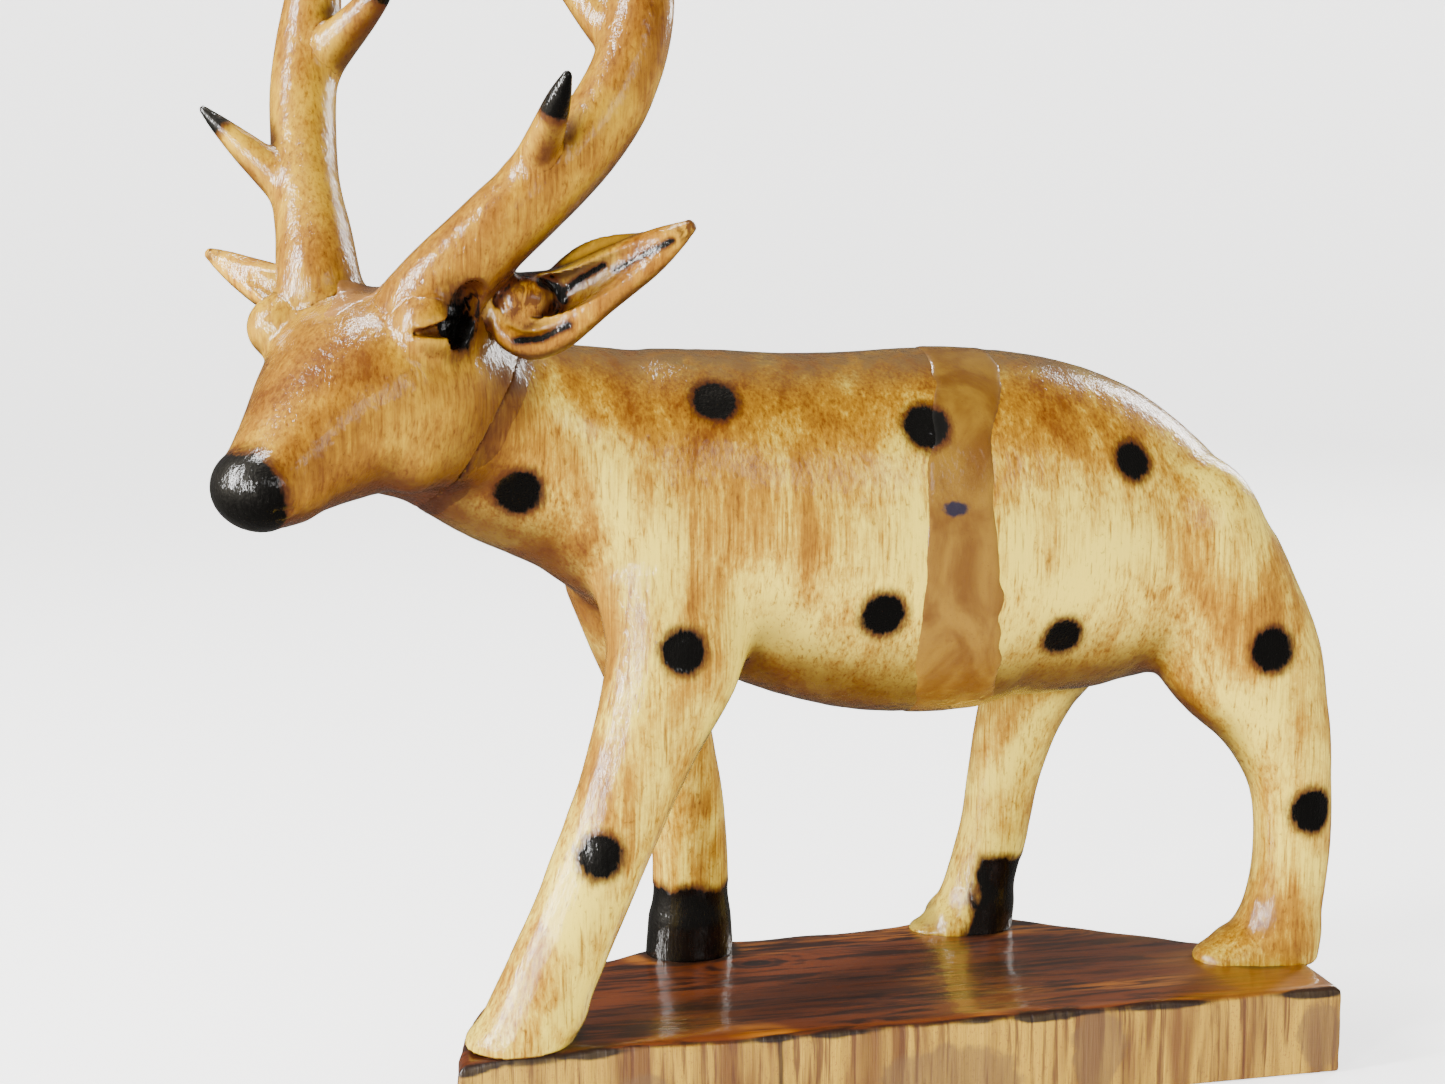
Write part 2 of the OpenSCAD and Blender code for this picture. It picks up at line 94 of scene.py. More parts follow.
def limb(rows, side=(0, 1, 0)):
    """Slices of a tube between slanted cuts, with a lump on each end."""
    s = smooth([list(r) if len(r) == 5 else list(r) + [r[3]] for r in rows])
    centres, radii = s[:, :3], s[:, 3:]
    along = np.array([unit(centres[min(i + 1, len(s) - 1)] - centres[max(i - 1, 0)]) for i in range(len(s))])
    across = np.array([unit(np.array(side, float) - a * np.dot(side, a)) for a in along])
    upward = np.cross(along, across)
    parts = [{"c1": centres[i], "r1": radii[i], "n1": along[i], "a1": across[i], "b1": upward[i],
              "c2": centres[i + 1], "r2": radii[i + 1], "n2": along[i + 1], "a2": across[i + 1],
              "b2": upward[i + 1]} for i in range(len(s) - 1)]
    for i in (0, -1):
        end = [*radii[i], radii[i].min()]
        parts.append(egg(centres[i], end, centres[i], end, [across[i], upward[i], along[i]]))
    return parts


def muscle(c1, r1, c2, r2):
    return [egg(c1, r1, c2, r2)]


def moved(parts, rotation, shift):
    out = []
    for part in parts:
        new = {key: (value if key in ("r1", "r2") else value @ rotation) for key, value in part.items()}
        new["c1"], new["c2"] = new["c1"] + shift, new["c2"] + shift
        out.append(new)
    return out


def raised(parts):
    """From heights above the plinth top to heights above the ground."""
    return moved(parts, np.eye(3), [0, 0, TOP])


print("a limb of two stations gives", len(limb([[0, 0, 0, 1], [0, 0, 9, 1]])), "parts")

# %% [markdown]
# ## The volume and its skin
# The wood is kept as a block of small cells, each holding its distance to the surface. Cells inside the wood
# hold negative numbers. Two shapes flow into each other when their distances are blended instead of cut,
# which is what a rasp does where a leg meets a shoulder. The skin is then drawn through the cells where the
# sign changes.

# %% Distances and blending
FAR = 30.0


def make_grid(low, high, step):
    low = np.asarray(low, float)
    count = np.ceil((np.asarray(high, float) - low) / step).astype(int) + 1
    return low, step, count


def blank(grid):
    return np.full(grid[2], FAR, np.float32)


def lump_distance(q, axes, start, end, t):
    """Distance to a lump whose radii run from start to end, at the place t along it."""
    near = far = 0
    for axis, r1, r2 in zip(axes, start, end):
        along = q[0] * axis[0] + q[1] * axis[1] + q[2] * axis[2]
        radius = r1 + t * (r2 - r1)
        near = near + (along / radius) ** 2
        far = far + (along / radius**2) ** 2
    near, far = np.sqrt(near), np.sqrt(far)
    return near * (near - 1) / np.maximum(far, 1e-6)


def egg_distance(part, px, py, pz):
    d = part["c2"] - part["c1"]
    length = float(d @ d)
    t = np.clip((px * d[0] + py * d[1] + pz * d[2]) / length, 0, 1) if length > 1e-9 else 0 * (px + py + pz)
    q = [px - t * d[0], py - t * d[1], pz - t * d[2]]
    return lump_distance(q, part["axes"], part["r1"], part["r2"], t)


def slice_distance(part, px, py, pz):
    d = part["c2"] - part["c1"]
    n1, n2 = part["n1"], part["n2"]
    before = px * n1[0] + py * n1[1] + pz * n1[2]
    after = (d[0] - px) * n2[0] + (d[1] - py) * n2[1] + (d[2] - pz) * n2[2]
    between = (before >= -0.01) & (after >= -0.01)
    t = np.clip(before / np.where(between, np.maximum(before + after, 1e-6), 1), 0, 1)
    q = [px - t * d[0], py - t * d[1], pz - t * d[2]]
    turning = zip((part["a1"], part["b1"]), (part["a2"], part["b2"]))
    axes = [[first[m] + t * (last[m] - first[m]) for m in range(3)] for first, last in turning]
    return np.where(between, lump_distance(q, axes, part["r1"], part["r2"], t), FAR)


def laid_out(rows):
    """Three rows of places, each laid along its own side of a block."""
    return [row.astype(np.float32).reshape([-1 if m == n else 1 for m in range(3)]) for n,
            row in enumerate(rows)]


def add_eggs(field, grid, parts, reach=16.0):
    """Distance to the nearest part, worked out only in the cells round each of them."""
    low, step, count = grid
    for part in parts:
        c1, c2 = part["c1"], part["c2"]
        spread = max(part["r1"].max(), part["r2"].max()) + reach
        i0 = np.maximum(np.floor((np.minimum(c1, c2) - spread - low) / step).astype(int), 0)
        i1 = np.minimum(np.ceil((np.maximum(c1, c2) + spread - low) / step).astype(int) + 1, count)
        if (i1 <= i0).any():
            continue
        px, py, pz = laid_out([low[n] - c1[n] + step * np.arange(i0[n], i1[n]) for n in range(3)])
        block = field[i0[0]:i1[0], i0[1]:i1[1], i0[2]:i1[2]]
        distance = slice_distance if "n1" in part else egg_distance
        np.minimum(block, distance(part, px, py, pz), out=block)
    return field


def joined(a, b, flow):
    """The two shapes together, with a fillet about as wide as flow where they meet."""
    h = np.maximum(flow - np.abs(a - b), 0) / flow
    return np.minimum(a, b) - h**3 * flow / 6


def carved(a, b, flow):
    return -joined(-a, b, flow)


print("distances are kept up to", FAR, "mm from the wood")

# %% [markdown]
# The skin comes out as four-sided faces of nearly equal size. A few rounds of smoothing that push back as
# much as they pull in take out the cell pattern without making a thin tine thinner.

# %% The skin
CORNERS = [(i, j, k) for i in (0, 1) for j in (0, 1) for k in (0, 1)]
EDGES = [(a, b) for a in CORNERS for b in CORNERS if a < b and sum(abs(p - q) for p, q in zip(a, b)) == 1]


def skin(field, grid, rounds=7):
    low, step, count = grid
    inside = field < 0
    n = count - 1

    def corner(array, c):
        return array[c[0]:c[0] + n[0], c[1]:c[1] + n[1], c[2]:c[2] + n[2]]

    total = sum(corner(inside, c).astype(np.int8) for c in CORNERS)
    active = (total > 0) & (total < 8)
    number = np.full(n, -1, np.int64)
    number[active] = np.arange(active.sum())
    where = np.argwhere(active).astype(np.float32)
    point, hits = np.zeros_like(where), np.zeros(len(where), np.float32)
    for a, b in EDGES:
        fa, fb = corner(field, a)[active], corner(field, b)[active]
        cut = (fa < 0) != (fb < 0)
        t = np.where(cut, fa / np.where(cut, fa - fb, 1), 0)[:, None]
        spot = np.array(a, np.float32) + t * (np.array(b, np.float32) - np.array(a, np.float32))
        point += np.where(cut[:, None], spot, 0)
        hits += cut
    points = low + step * (where + point / hits[:, None])
    quads = []
    for axis in range(3):
        u, v = (axis + 1) % 3, (axis + 2) % 3
        first = np.moveaxis(inside, (axis, u, v), (0, 1, 2))
        cells = np.moveaxis(number, (axis, u, v), (0, 1, 2))
        flip = first[:-1, 1:-1, 1:-1] != first[1:, 1:-1, 1:-1]
        i, j, k = np.nonzero(flip)
        quad = np.stack([cells[i, j, k], cells[i, j + 1, k], cells[i, j + 1, k + 1], cells[i, j, k + 1]], 1)
        outward = first[:-1, 1:-1, 1:-1][i, j, k]
        quads.append(np.where(outward[:, None], quad, quad[:, ::-1]))
    quads = np.concatenate(quads)
    a, b = quads.ravel(), np.roll(quads, -1, 1).ravel()
    share = np.bincount(a, minlength=len(points)) + np.bincount(b, minlength=len(points))
    for r in range(2 * rounds):
        pull = [np.bincount(a, points[b, m], len(points)) + np.bincount(b, points[a, m], len(points))
                for m in range(3)]
        pull = np.stack(pull, 1) / share[:, None]
        points = points + (pull - points) * (0.5 if r % 2 == 0 else -0.53)
    return points, quads


def normals(points, quads):
    p = points[quads]
    face = np.cross(p[:, 2] - p[:, 0], p[:, 3] - p[:, 1])
    n = np.stack([sum(np.bincount(quads[:, c], face[:, m], len(points)) for c in range(4)) for m in range(3)],
                 1)
    return n / np.maximum(np.linalg.norm(n, axis=1), 1e-9)[:, None]


def from_corners(f, value_at):
    """A value inside a cell from its eight corners, where f says how far along each side it lies."""
    value = 0
    for c in CORNERS:
        weight = np.prod([f[:, m] if c[m] else 1 - f[:, m] for m in range(3)], 0)
        value = value + weight * value_at(c)
    return value


def sample(field, grid, points):
    """The value of the block at any point."""
    low, step, count = grid
    q = np.clip((points - low) / step, 0, count - 1.001)
    i = q.astype(int)
    return from_corners(q - i, lambda c: field[i[:, 0] + c[0], i[:, 1] + c[1], i[:, 2] + c[2]])


print("each cell has", len(CORNERS), "corners and", len(EDGES), "edges")

# %% [markdown]
# ## Unevenness
# No hand-carved surface is true. A slow wave and a faster one, both from a fixed seed, push the skin in and
# out by fractions of a millimetre, the same way on both sides of every joint.

# %% Hand-made unevenness
dice = np.random.default_rng(20)
TABLE_SIDE = 32
TABLE = dice.uniform(-1, 1, (TABLE_SIDE, TABLE_SIDE, TABLE_SIDE))


def waves(points, size):
    """Smooth random numbers between -1 and 1 that change over the given size."""
    q = np.asarray(points, float) / np.asarray(size, float) + 500
    i = np.floor(q).astype(int)
    f = q - i
    f = f * f * (3 - 2 * f)
    return from_corners(f, lambda c: TABLE[tuple(((i + c) % TABLE_SIDE).T)])


print("the waves come from", TABLE.size, "throws of the dice")


# %% [markdown]
# ## The body
# The trunk is a long egg, deepest at the belly. The four legs are each one bend: the near front one strides
# forward, the rear ones have a hock. Shoulders and haunches are muscles laid over the roots of the legs.

# %% Trunk, neck and legs
trunk_rows = [[-97, 6, 168, 22, 31], [-83, 7, 162, 30, 38], [-65, 8.5, 157, 35, 45],
              [-40, 10, 149.5, 37, 51], [-10, 12.5, 143.5, 38, 56.5], [20, 15, 142, 38, 58],
              [45, 17, 142, 37.5, 55.5], [68, 18.5, 137.5, 36, 52], [88, 20, 131, 33, 45.5],
              [103, 21, 124.5, 28, 37], [116, 21.5, 118, 22, 26]]
neck_rows = [[-78, 8, 163, 29, 38], [-97, 6, 168, 27, 34], [-114, 1, 173, 24, 31.5],
             [-130, -5, 180, 21.5, 29], [-143, -10, 187, 20, 26], [-152, -14, 191, 18, 22]]
near_front_leg = [[-71, -10, 132, 15, 23], [-71, -14, 112, 15, 21], [-80, -17, 88, 13.5, 16.5],
                  [-90, -19, 64, 12.5, 14], [-101, -21, 38, 12.5, 13.5], [-112, -23, 15, 12.5, 13.5],
                  [-120, -24, -2, 12.5, 14]]
far_front_leg = [[-84, 23, 130, 13, 15], [-76, 28, 108, 12.5, 14], [-66, 34, 85, 12, 13.5],
                 [-59.5, 38, 60, 11, 13], [-56, 40.5, 36, 10.5, 12.7], [-55.5, 41, 14, 10.5, 13],
                 [-56, 41, -2, 10.5, 13.5]]
near_rear_leg = [[107, 5, 122, 17, 28], [121, 2, 98, 16, 26], [131, -1, 78, 13.5, 18.5],
                 [136.5, -2, 58, 12, 13.6], [138, -2, 38, 11.5, 12.6], [136, -2, 18, 11.5, 12.8],
                 [131, -2, -2, 12, 15]]
far_rear_leg = [[75, 33, 116, 14, 22], [65.5, 37, 94, 13, 17.5], [58.5, 41, 74, 12, 14.5],
                [54.5, 44, 54, 11, 12.4], [52, 45.5, 34, 10.5, 11.8], [47, 46, 14, 10.5, 12.2],
                [43.5, 46, -2, 10.5, 14]]

print("the near front leg has", len(near_front_leg), "stations from shoulder to hoof")

# %% [markdown]
# Muscles and hooves are laid over the limbs one after another. The order matters a little, because each one
# flows into everything that is already there.

# %% Muscles, hooves and tail
near_shoulder = muscle([-69, -11, 150], [20, 14, 26], [-71, -13, 116], [17, 12, 22])
far_shoulder = muscle([-68, 26, 142], [18, 13, 24], [-71, 28, 110], [13, 12, 18])
chest = muscle([-79, 7, 138], [13, 18, 16], [-59, 10, 116], [14, 20, 14])
near_withers = muscle([-84, -6, 164], [18, 16, 24], [-66, -10, 146], [16, 14, 22])
far_withers = muscle([-84, 20, 164], [18, 16, 24], [-66, 26, 146], [16, 14, 22])
near_front_hoof = muscle([-121.5, -23, 0], [14, 12.5, 5], [-114.5, -23, 8], [13, 12, 8])
far_front_hoof = muscle([-56, 41, 0], [13.5, 11, 4], [-56, 41, 10], [12.8, 10.8, 8])
near_haunch = muscle([102, 3, 136], [24, 18, 29], [125.5, 1, 96], [19, 14, 20])
far_haunch = muscle([92, 36, 130], [24, 16, 27], [71, 38, 98], [16, 12, 16])
near_rear_toe = muscle([133.5, -2, 0], [12, 12.5, 5], [113.5, -3, 0], [9, 9, 5])
near_rear_hoof = muscle([135.5, -2, 8], [11.5, 11.5, 8], [121.5, -2, 4], [9, 9, 5])
far_rear_toe = muscle([45.5, 46, 0], [12, 11, 4], [29.5, 45, 0], [9, 9, 4])
far_rear_hoof = muscle([46.5, 46, 8], [12, 10.5, 8], [36.5, 46, 4], [9, 9, 5])
tail = muscle([111, 22, 148], [6, 6, 12], [121, 22, 126], [4, 5, 12])

limbs = [limb(rows) for rows in (trunk_rows, neck_rows, near_front_leg, far_front_leg, near_rear_leg,
                                 far_rear_leg)]
muscles = [near_shoulder, far_shoulder, chest, near_withers, far_withers, near_front_hoof, far_front_hoof,
           near_haunch, far_haunch, near_rear_toe, near_rear_hoof, far_rear_toe, far_rear_hoof, tail]
body_shapes = [raised(shape) for shape in limbs + muscles]
print("the body is", len(limbs), "limbs and", len(muscles), "muscles")

# %% [markdown]
# ## The head
# The head is turned to the left of the body. It is a wedge that runs from a broad brow to a blunt nose, with
# round eye bosses, deep almond eye holes that end in a tear duct, heavy cheeks and a scratched mouth line.

# %% Head
head_centre = np.array([-156.5, -14, 191 + TOP])
HEAD_HEADING = 225
turn = math.radians(HEAD_HEADING)
head_axes = np.array([[math.cos(turn), math.sin(turn), 0], [-math.sin(turn), math.cos(turn), 0], [0, 0, 1]])


def on_head(parts):
    """From the head's own frame, forward, left and up, to the statue's."""
    return moved(parts, head_axes, head_centre)


def head_frame(points):
    return (points - head_centre) @ head_axes.T


head_rows = [[-32, 0, -1, 21, 20], [-22, 0, -1, 30, 27], [-8, 0, -1, 34, 29.5], [6, 0, -3, 32.5, 28],
             [17, 0, -8, 27.5, 24], [27, 0, -13.5, 22, 19.5], [36, 0, -18.5, 17.5, 15.5],
             [43, 0, -22, 14.5, 12.6], [47, 0, -23.5, 13, 11]]
left_brow = muscle([7, 25, 17], [9, 8.5, 9], [-7, 24, 17], [9, 8, 8])
right_brow = muscle([12, -25.5, 17], [9, 9, 9], [-4, -23, 18], [9, 8, 8])
left_cheek = muscle([-19, 24, -8], [14, 12, 18], [6, 18, -15], [13, 10, 13])
right_cheek = muscle([-19, -24, -8], [14, 12, 18], [6, -18, -15], [13, 10, 13])
muzzle = muscle([46, 0, -24], [7.5, 12.8, 10.5], [38, 0, -23], [8, 13.5, 11])
head_shapes = [on_head(s) for s in (limb(head_rows), left_brow, right_brow, left_cheek, right_cheek, muzzle)]
eye_holes = on_head(sum((
    muscle([2.5, way * 35, 18], [5, 10.5, 6.5], [-0.5, way * 35.5, 23.5], [4.8, 10.5, 7])
    + muscle([5, way * 34, 18.0], [3, 6.5, 2.8], [14.5, way * 29.5, 16.6], [0.9, 4.2, 0.9])
                         for way in (1, -1)), []))
mouth_line = on_head(sum((limb([[51, way * 10.5, -29, 0.8], [44, way * 14.5, -28.5, 0.8],
                                [36, way * 17, -28, 0.7], [27, way * 19, -27, 0.5]]) for way in (1, -1)), []))
print("the head is", len(head_shapes), "shapes, with", len(eye_holes) + len(mouth_line), "cuts")

# %% [markdown]
# ## Antlers and ears
# Each antler is one beam with a brow tine low in front and a second tine higher up. An ear is a leaf on a
# round root, hollowed along its front so that two lips are left.

# %% Antlers and ears
beam_left = [[-144, -27, 214, 12.5], [-137, -28.5, 222, 12], [-125, -30, 234, 11.3], [-112, -29.5, 246, 11],
             [-99, -28, 259, 10.6], [-89, -26, 274, 10], [-83, -23, 290, 9.6], [-81, -20, 305, 8.4],
             [-83, -16, 320, 7.2], [-88, -12, 334, 5.6], [-95, -8, 346, 3.8], [-100, -5, 354, 1.9]]
beam_right = [[-171, -1, 213, 12.5], [-171.5, 0, 222, 12], [-172.5, 7, 234, 10.8], [-174, 15, 247, 9.9],
              [-174.5, 24, 261, 9.5], [-174, 32, 276, 9.6], [-172, 38, 291, 9.4], [-170, 41, 306, 8.3],
              [-169, 42, 321, 7], [-166, 40, 335, 5.4], [-161, 36, 346, 3.6], [-156, 33, 353, 1.8]]
brow_left = [[-115, -31, 249, 6.8], [-113, -36, 255, 5.8], [-110.5, -43, 263, 4.6], [-108.5, -49, 270, 3.2],
             [-107, -53, 275, 1.5]]
brow_right = [[-174, 15, 245, 7.6], [-183, 16.5, 252, 6], [-191, 18, 259, 4.6], [-198, 19.5, 265.5, 3],
              [-202.5, 20.5, 270, 1.5]]
upper_left = [[-86, -21.5, 286.5, 7], [-91, -17.5, 293, 6.6], [-98, -12, 302, 5.2], [-104, -7.5, 310, 3.6],
              [-108.5, -4, 316, 1.7]]
upper_right = [[-170, 35, 284.5, 7], [-165, 31, 290, 6.6], [-158, 25, 297, 5.2], [-152, 19.5, 303.5, 3.6],
               [-148, 16, 308, 1.7]]
ear_left = [[-121, -25, 214, 9.5, 9], [-113, -27, 214, 10, 9], [-103, -31, 217, 9, 7.5],
            [-92, -35, 223, 8.5, 5.6], [-81, -39, 230, 6.2, 3.8], [-72, -42, 236, 2.2, 1.7]]
ear_right = [[-169, 17, 212, 9, 8.5], [-174, 24, 214, 9, 8], [-181, 31, 217, 8, 6.5],
             [-189, 38, 221, 6.6, 4.6], [-197, 44, 225.5, 4.4, 3], [-203, 49, 229, 1.9, 1.5]]
EAR_SIDE = (0.2, 0.3, 1)


def trough(rows, shift, first=0.62):
    """The hollow of an ear: the same leaf, narrower, moved towards the opening."""
    out = []
    for n, r in enumerate(rows):
        k = first if n < 2 else 0.6
        out.append([r[0] + shift[0], r[1] + shift[1], r[2] + shift[2], r[3] * k, r[4] * k])
    return limb(out[:-1], EAR_SIDE)


EAR_ROOT_MIDDLE = [-116.5, -30, 215]
ear_root = muscle([-118, -28.5, 215], [7, 7, 8], [-114.5, -28.5, 215.5], [7, 7, 7.5])
ear_rim = limb([[-124, -30, 211, 3.0], [-121.5, -32, 206.4, 3.6], [-115.5, -33.5, 203.4, 3.9],
                [-108, -34.5, 205.6, 3.9], [-100, -36, 211.6, 3.7], [-92, -37.5, 218.2, 3.2],
                [-82, -39.5, 226.4, 2.7], [-74.5, -41.5, 233, 1.8]])
ear_flap = limb([[-109, -27.5, 218.5, 4.4, 2.0], [-104, -28, 223, 5.0, 1.9], [-99.5, -29, 226.2, 5.4, 1.8],
                 [-94, -30.5, 228.6, 5.4, 1.7], [-88.5, -33, 230, 4.8, 1.7], [-82.5, -36, 231.6, 3.7, 1.7],
                 [-77, -39.5, 234, 2.3, 1.6]], EAR_SIDE)

stations = {"antler_beam_left": beam_left, "antler_beam_right": beam_right, "brow_tine_left": brow_left,
            "brow_tine_right": brow_right, "upper_tine_left": upper_left, "upper_tine_right": upper_right,
            "ear_left": ear_left, "ear_right": ear_right}
members = {name: raised(limb(rows, EAR_SIDE if "ear" in name else (0, 1, 0))) for name,
           rows in stations.items()}
hollows = {"ear_left": raised(trough(ear_left, [1, -6, 3])),
           "ear_right": raised(trough(ear_right, [-3, -5, 2]))}
FLOW = {"antler_beam_left": 8, "antler_beam_right": 8, "ear_left": 3, "ear_right": 3}
TINE_FLOW, BODY_FLOW, HEAD_FLOW = 4, 8, 6
print("antlers, tines and ears:", sum(len(parts) for parts in members.values()), "parts in", len(members),
      "members")

# %% [markdown]
# ## Parting the clay
# The neck is sawn across at a slant and the body upright. The antlers, tines and ears part from what they
# stand on along the line where the two shapes are equally near.

# %% One volume, many pieces
neck_joint = np.array([-129, -6, 183 + TOP])
neck_axis = unit([-0.8, -0.12, 0.5])
OVERLAP = 0.7


def mesh_grid(grid):
    low, step, count = grid
    return laid_out([low[n] + step * np.arange(count[n]) for n in range(3)])


def whole(grid):
    """The full statue without its plinth, and the separate distances that decide who owns what."""
    body = blank(grid)
    for shape in body_shapes:
        body = joined(body, add_eggs(blank(grid), grid, shape), BODY_FLOW)
    head = blank(grid)
    for shape in head_shapes:
        head = joined(head, add_eggs(blank(grid), grid, shape), HEAD_FLOW)
    base = joined(body, head, BODY_FLOW)
    own = {"base": base}
    total = base
    for name, eggs in members.items():
        d = add_eggs(blank(grid), grid, eggs)
        if (d >= FAR).all():
            continue
        if name in hollows:
            d = carved(d, add_eggs(blank(grid), grid, hollows[name]), 1.0)
        if name == "ear_left":
            for part, flow in ((ear_rim, 2.0), (ear_flap, 1.4), (ear_root, 1.2)):
                d = joined(d, add_eggs(blank(grid), grid, raised(part)), flow)
        own[name] = d
        total = joined(total, d, FLOW.get(name, TINE_FLOW))
    for cut, flow in ((eye_holes, 1.2), (mouth_line, 0.8)):
        total = carved(total, add_eggs(blank(grid), grid, cut), flow)
    return total, own


def owned(name, total, own):
    """What belongs to one member: where no other is nearer, with a hair of overlap under the glue line."""
    others = [d for key, d in own.items() if key != name]
    if not others:
        return total
    rest = others[0]
    for d in others[1:]:
        rest = np.minimum(rest, d)
    return np.maximum(total, own[name] - rest - OVERLAP)


def neck_side(grid):
    """Distance from the neck cut, positive on the head's side."""
    x, y, z = mesh_grid(grid)
    return sum((place - neck_joint[n]) * neck_axis[n] for n, place in enumerate((x, y, z)))


print("the neck is cut at", [round(float(v), 1) for v in neck_joint], "mm")

# %% [markdown]
# Each piece is taken from its own block of cells: coarse ones for the trunk, fine ones for the head, the
# antlers and the ears.

# %% Taking the pieces out
made = {}


def box_of(parts, margin=11):
    low = np.min([np.minimum(p["c1"], p["c2"]) - max(p["r1"].max(), p["r2"].max()) for p in parts], 0)
    high = np.max([np.maximum(p["c1"], p["c2"]) + max(p["r1"].max(), p["r2"].max()) for p in parts], 0)
    return low - margin, high + margin


def keep(name, piece, total, grid):
    points, quads = skin(piece, grid)
    made[name] = {"points": points, "quads": quads, "total": total, "grid": grid}
    print(name, len(quads), "faces")


BODY_CELL, HEAD_CELL, FINE_CELL = 1.35, 0.95, 0.75


def ramp(value, start, end):
    t = np.clip((value - start) / (end - start), 0, 1)
    return t * t * (3 - 2 * t)


def grid_waves(grid, size):
    """The same slow waves as on the skin, worked out on a coarse block and filled in between."""
    low, step, count = grid
    x, y, z = np.meshgrid(*[low[n] + step * np.arange(count[n]) for n in range(3)], indexing="ij")
    points = np.stack([x.ravel(), y.ravel(), z.ravel()], 1)
    return waves(points, size).reshape(count).astype(np.float32)


print("cells of", BODY_CELL, HEAD_CELL, FINE_CELL, "mm for body, head and antlers")

# %% [markdown]
# ## Putty
# Putty was pressed over the body joint, round the neck joint and between the roots of the antlers. Each patch
# is a thin shell that lies in a shallow rebate. Its rim is feathered out, so it stands a third of a
# millimetre proud in the middle and runs out to nothing at a ragged edge.

# %% Where the putty lies
band_rows = np.array([[87, 7, 34], [109, 2.5, 31], [118, 1.5, 30], [139, 2.5, 28.5], [158, 3.5, 25],
                      [174, 6, 27.5], [190, 10, 33], [203, 11, 34]], float)
brow_top = muscle([6, 0, 29], [9, 9, 9], [-6, 0, 31], [8, 8, 8])
brow_front = muscle([6, 0, 29], [8, 8, 8], [16, 1, 21], [4, 4, 5])
brow_patch = on_head(brow_top + brow_front)
PUTTY_DEPTH, PUTTY_PROUD, COLLAR_PROUD = 1.6, 0.35, 0.12


def band_inside(grid):
    """How far inside the band round the barrel, in millimetres."""
    x, _, z = mesh_grid(grid)
    height = z - TOP
    left = np.interp(height, band_rows[:, 0], band_rows[:, 1]).astype(np.float32)
    right = np.interp(height, band_rows[:, 0], band_rows[:, 2]).astype(np.float32)
    return np.minimum(x - left, right - x) + 1.6 * grid_waves(grid, 7)


def collar_inside(grid):
    s = neck_side(grid)
    return np.minimum(s + 6.5, 1.2 - s) + 1.5 * grid_waves(grid, 7)


def brow_inside(grid):
    return 1.5 * grid_waves(grid, 6) - add_eggs(blank(grid), grid, brow_patch)


def rebated(piece, total, inside):
    return np.maximum(piece, np.where(inside > 2.5, total + 1.2 * ramp(inside, 2.5, 4), -FAR))


def putty(total, inside, proud=PUTTY_PROUD):
    proud = proud * ramp(inside, 0, 2.5) - 0.25 * (1 - ramp(inside, 0, 1.2))
    return np.maximum(np.maximum(total - proud, -(total + PUTTY_DEPTH)), -inside)


print("putty goes", PUTTY_DEPTH, "mm deep and stands", PUTTY_PROUD, "mm proud")

# %% [markdown]
# ## Cutting out the pieces
# The front block is what lies ahead of the body joint and behind the neck cut; the rear block is the rest.
# Both stop a little under the top of the plinth, so that no daylight shows under a hoof on its uneven
# surface.

# %% Body blocks
SUNK = 1.6
front_grid = make_grid([-165, -55, TOP - 8], [joint_x + 14, 68, TOP + 212], BODY_CELL)
total, own = whole(front_grid)
x, y, z = mesh_grid(front_grid)
piece = np.maximum(owned("base", total, own), x - joint_x)
piece = np.maximum(piece, neck_side(front_grid))
piece = rebated(piece, total, band_inside(front_grid))
piece = rebated(piece, total, collar_inside(front_grid))
keep("body_front", np.maximum(piece, TOP - SUNK - z), total, front_grid)

rear_grid = make_grid([joint_x - 14, -45, TOP - 8], [165, 72, TOP + 212], BODY_CELL)
total, own = whole(rear_grid)
x, y, z = mesh_grid(rear_grid)
piece = rebated(np.maximum(total, joint_x - x), total, band_inside(rear_grid))
keep("body_rear", np.maximum(piece, TOP - SUNK - z), total, rear_grid)

# %% [markdown]
# The head is everything in front of the neck cut that isn't nearer to an antler or an ear.

# %% Cutting out the head
head_low, head_high = box_of(sum(head_shapes, []), 9)
head_grid = make_grid(head_low, head_high, HEAD_CELL)
total, own = whole(head_grid)
piece = np.maximum(owned("base", total, own), -neck_side(head_grid))
piece = rebated(piece, total, brow_inside(head_grid))
keep("head", piece, total, head_grid)

# %% [markdown]
# Antlers, tines and ears each get a block of fine cells of their own, so that the tips stay sharp.

# %% Cutting out the antlers, tines and ears
for name, parts in members.items():
    grid = make_grid(*box_of(parts), FINE_CELL)
    total, own = whole(grid)
    piece = owned(name, total, own)
    if name == "antler_beam_left":
        piece = rebated(piece, total, brow_inside(grid))
    keep(name, piece, total, grid)

# %% [markdown]
# The three putty shells are cut from the same whole, which is why they follow the wood under them.

# %% Putty shells
PUTTY_CELL, BROW_CELL = 0.9, 0.7
grid = make_grid([-8, -48, TOP + 70], [46, 76, TOP + 215], PUTTY_CELL)
total, own = whole(grid)
keep("flank_filler", putty(total, band_inside(grid)), total, grid)

grid = make_grid([-150, -50, TOP + 130], [-98, 42, TOP + 218], PUTTY_CELL)
total, own = whole(grid)
keep("neck_filler", np.maximum(putty(total, collar_inside(grid), COLLAR_PROUD), owned("base", total, own)),
     total, grid)

low, high = box_of(brow_patch, 4)
grid = make_grid(low, high, BROW_CELL)
total, own = whole(grid)
keep("brow_filler", putty(total, brow_inside(grid)), total, grid)

# %% [markdown]
# ## Plinth
# Half a log: one sawn face towards the front, the bark side bulging at the back, the top planed and worn down
# at the lip. The saw left fine upright grooves in the sawn face.

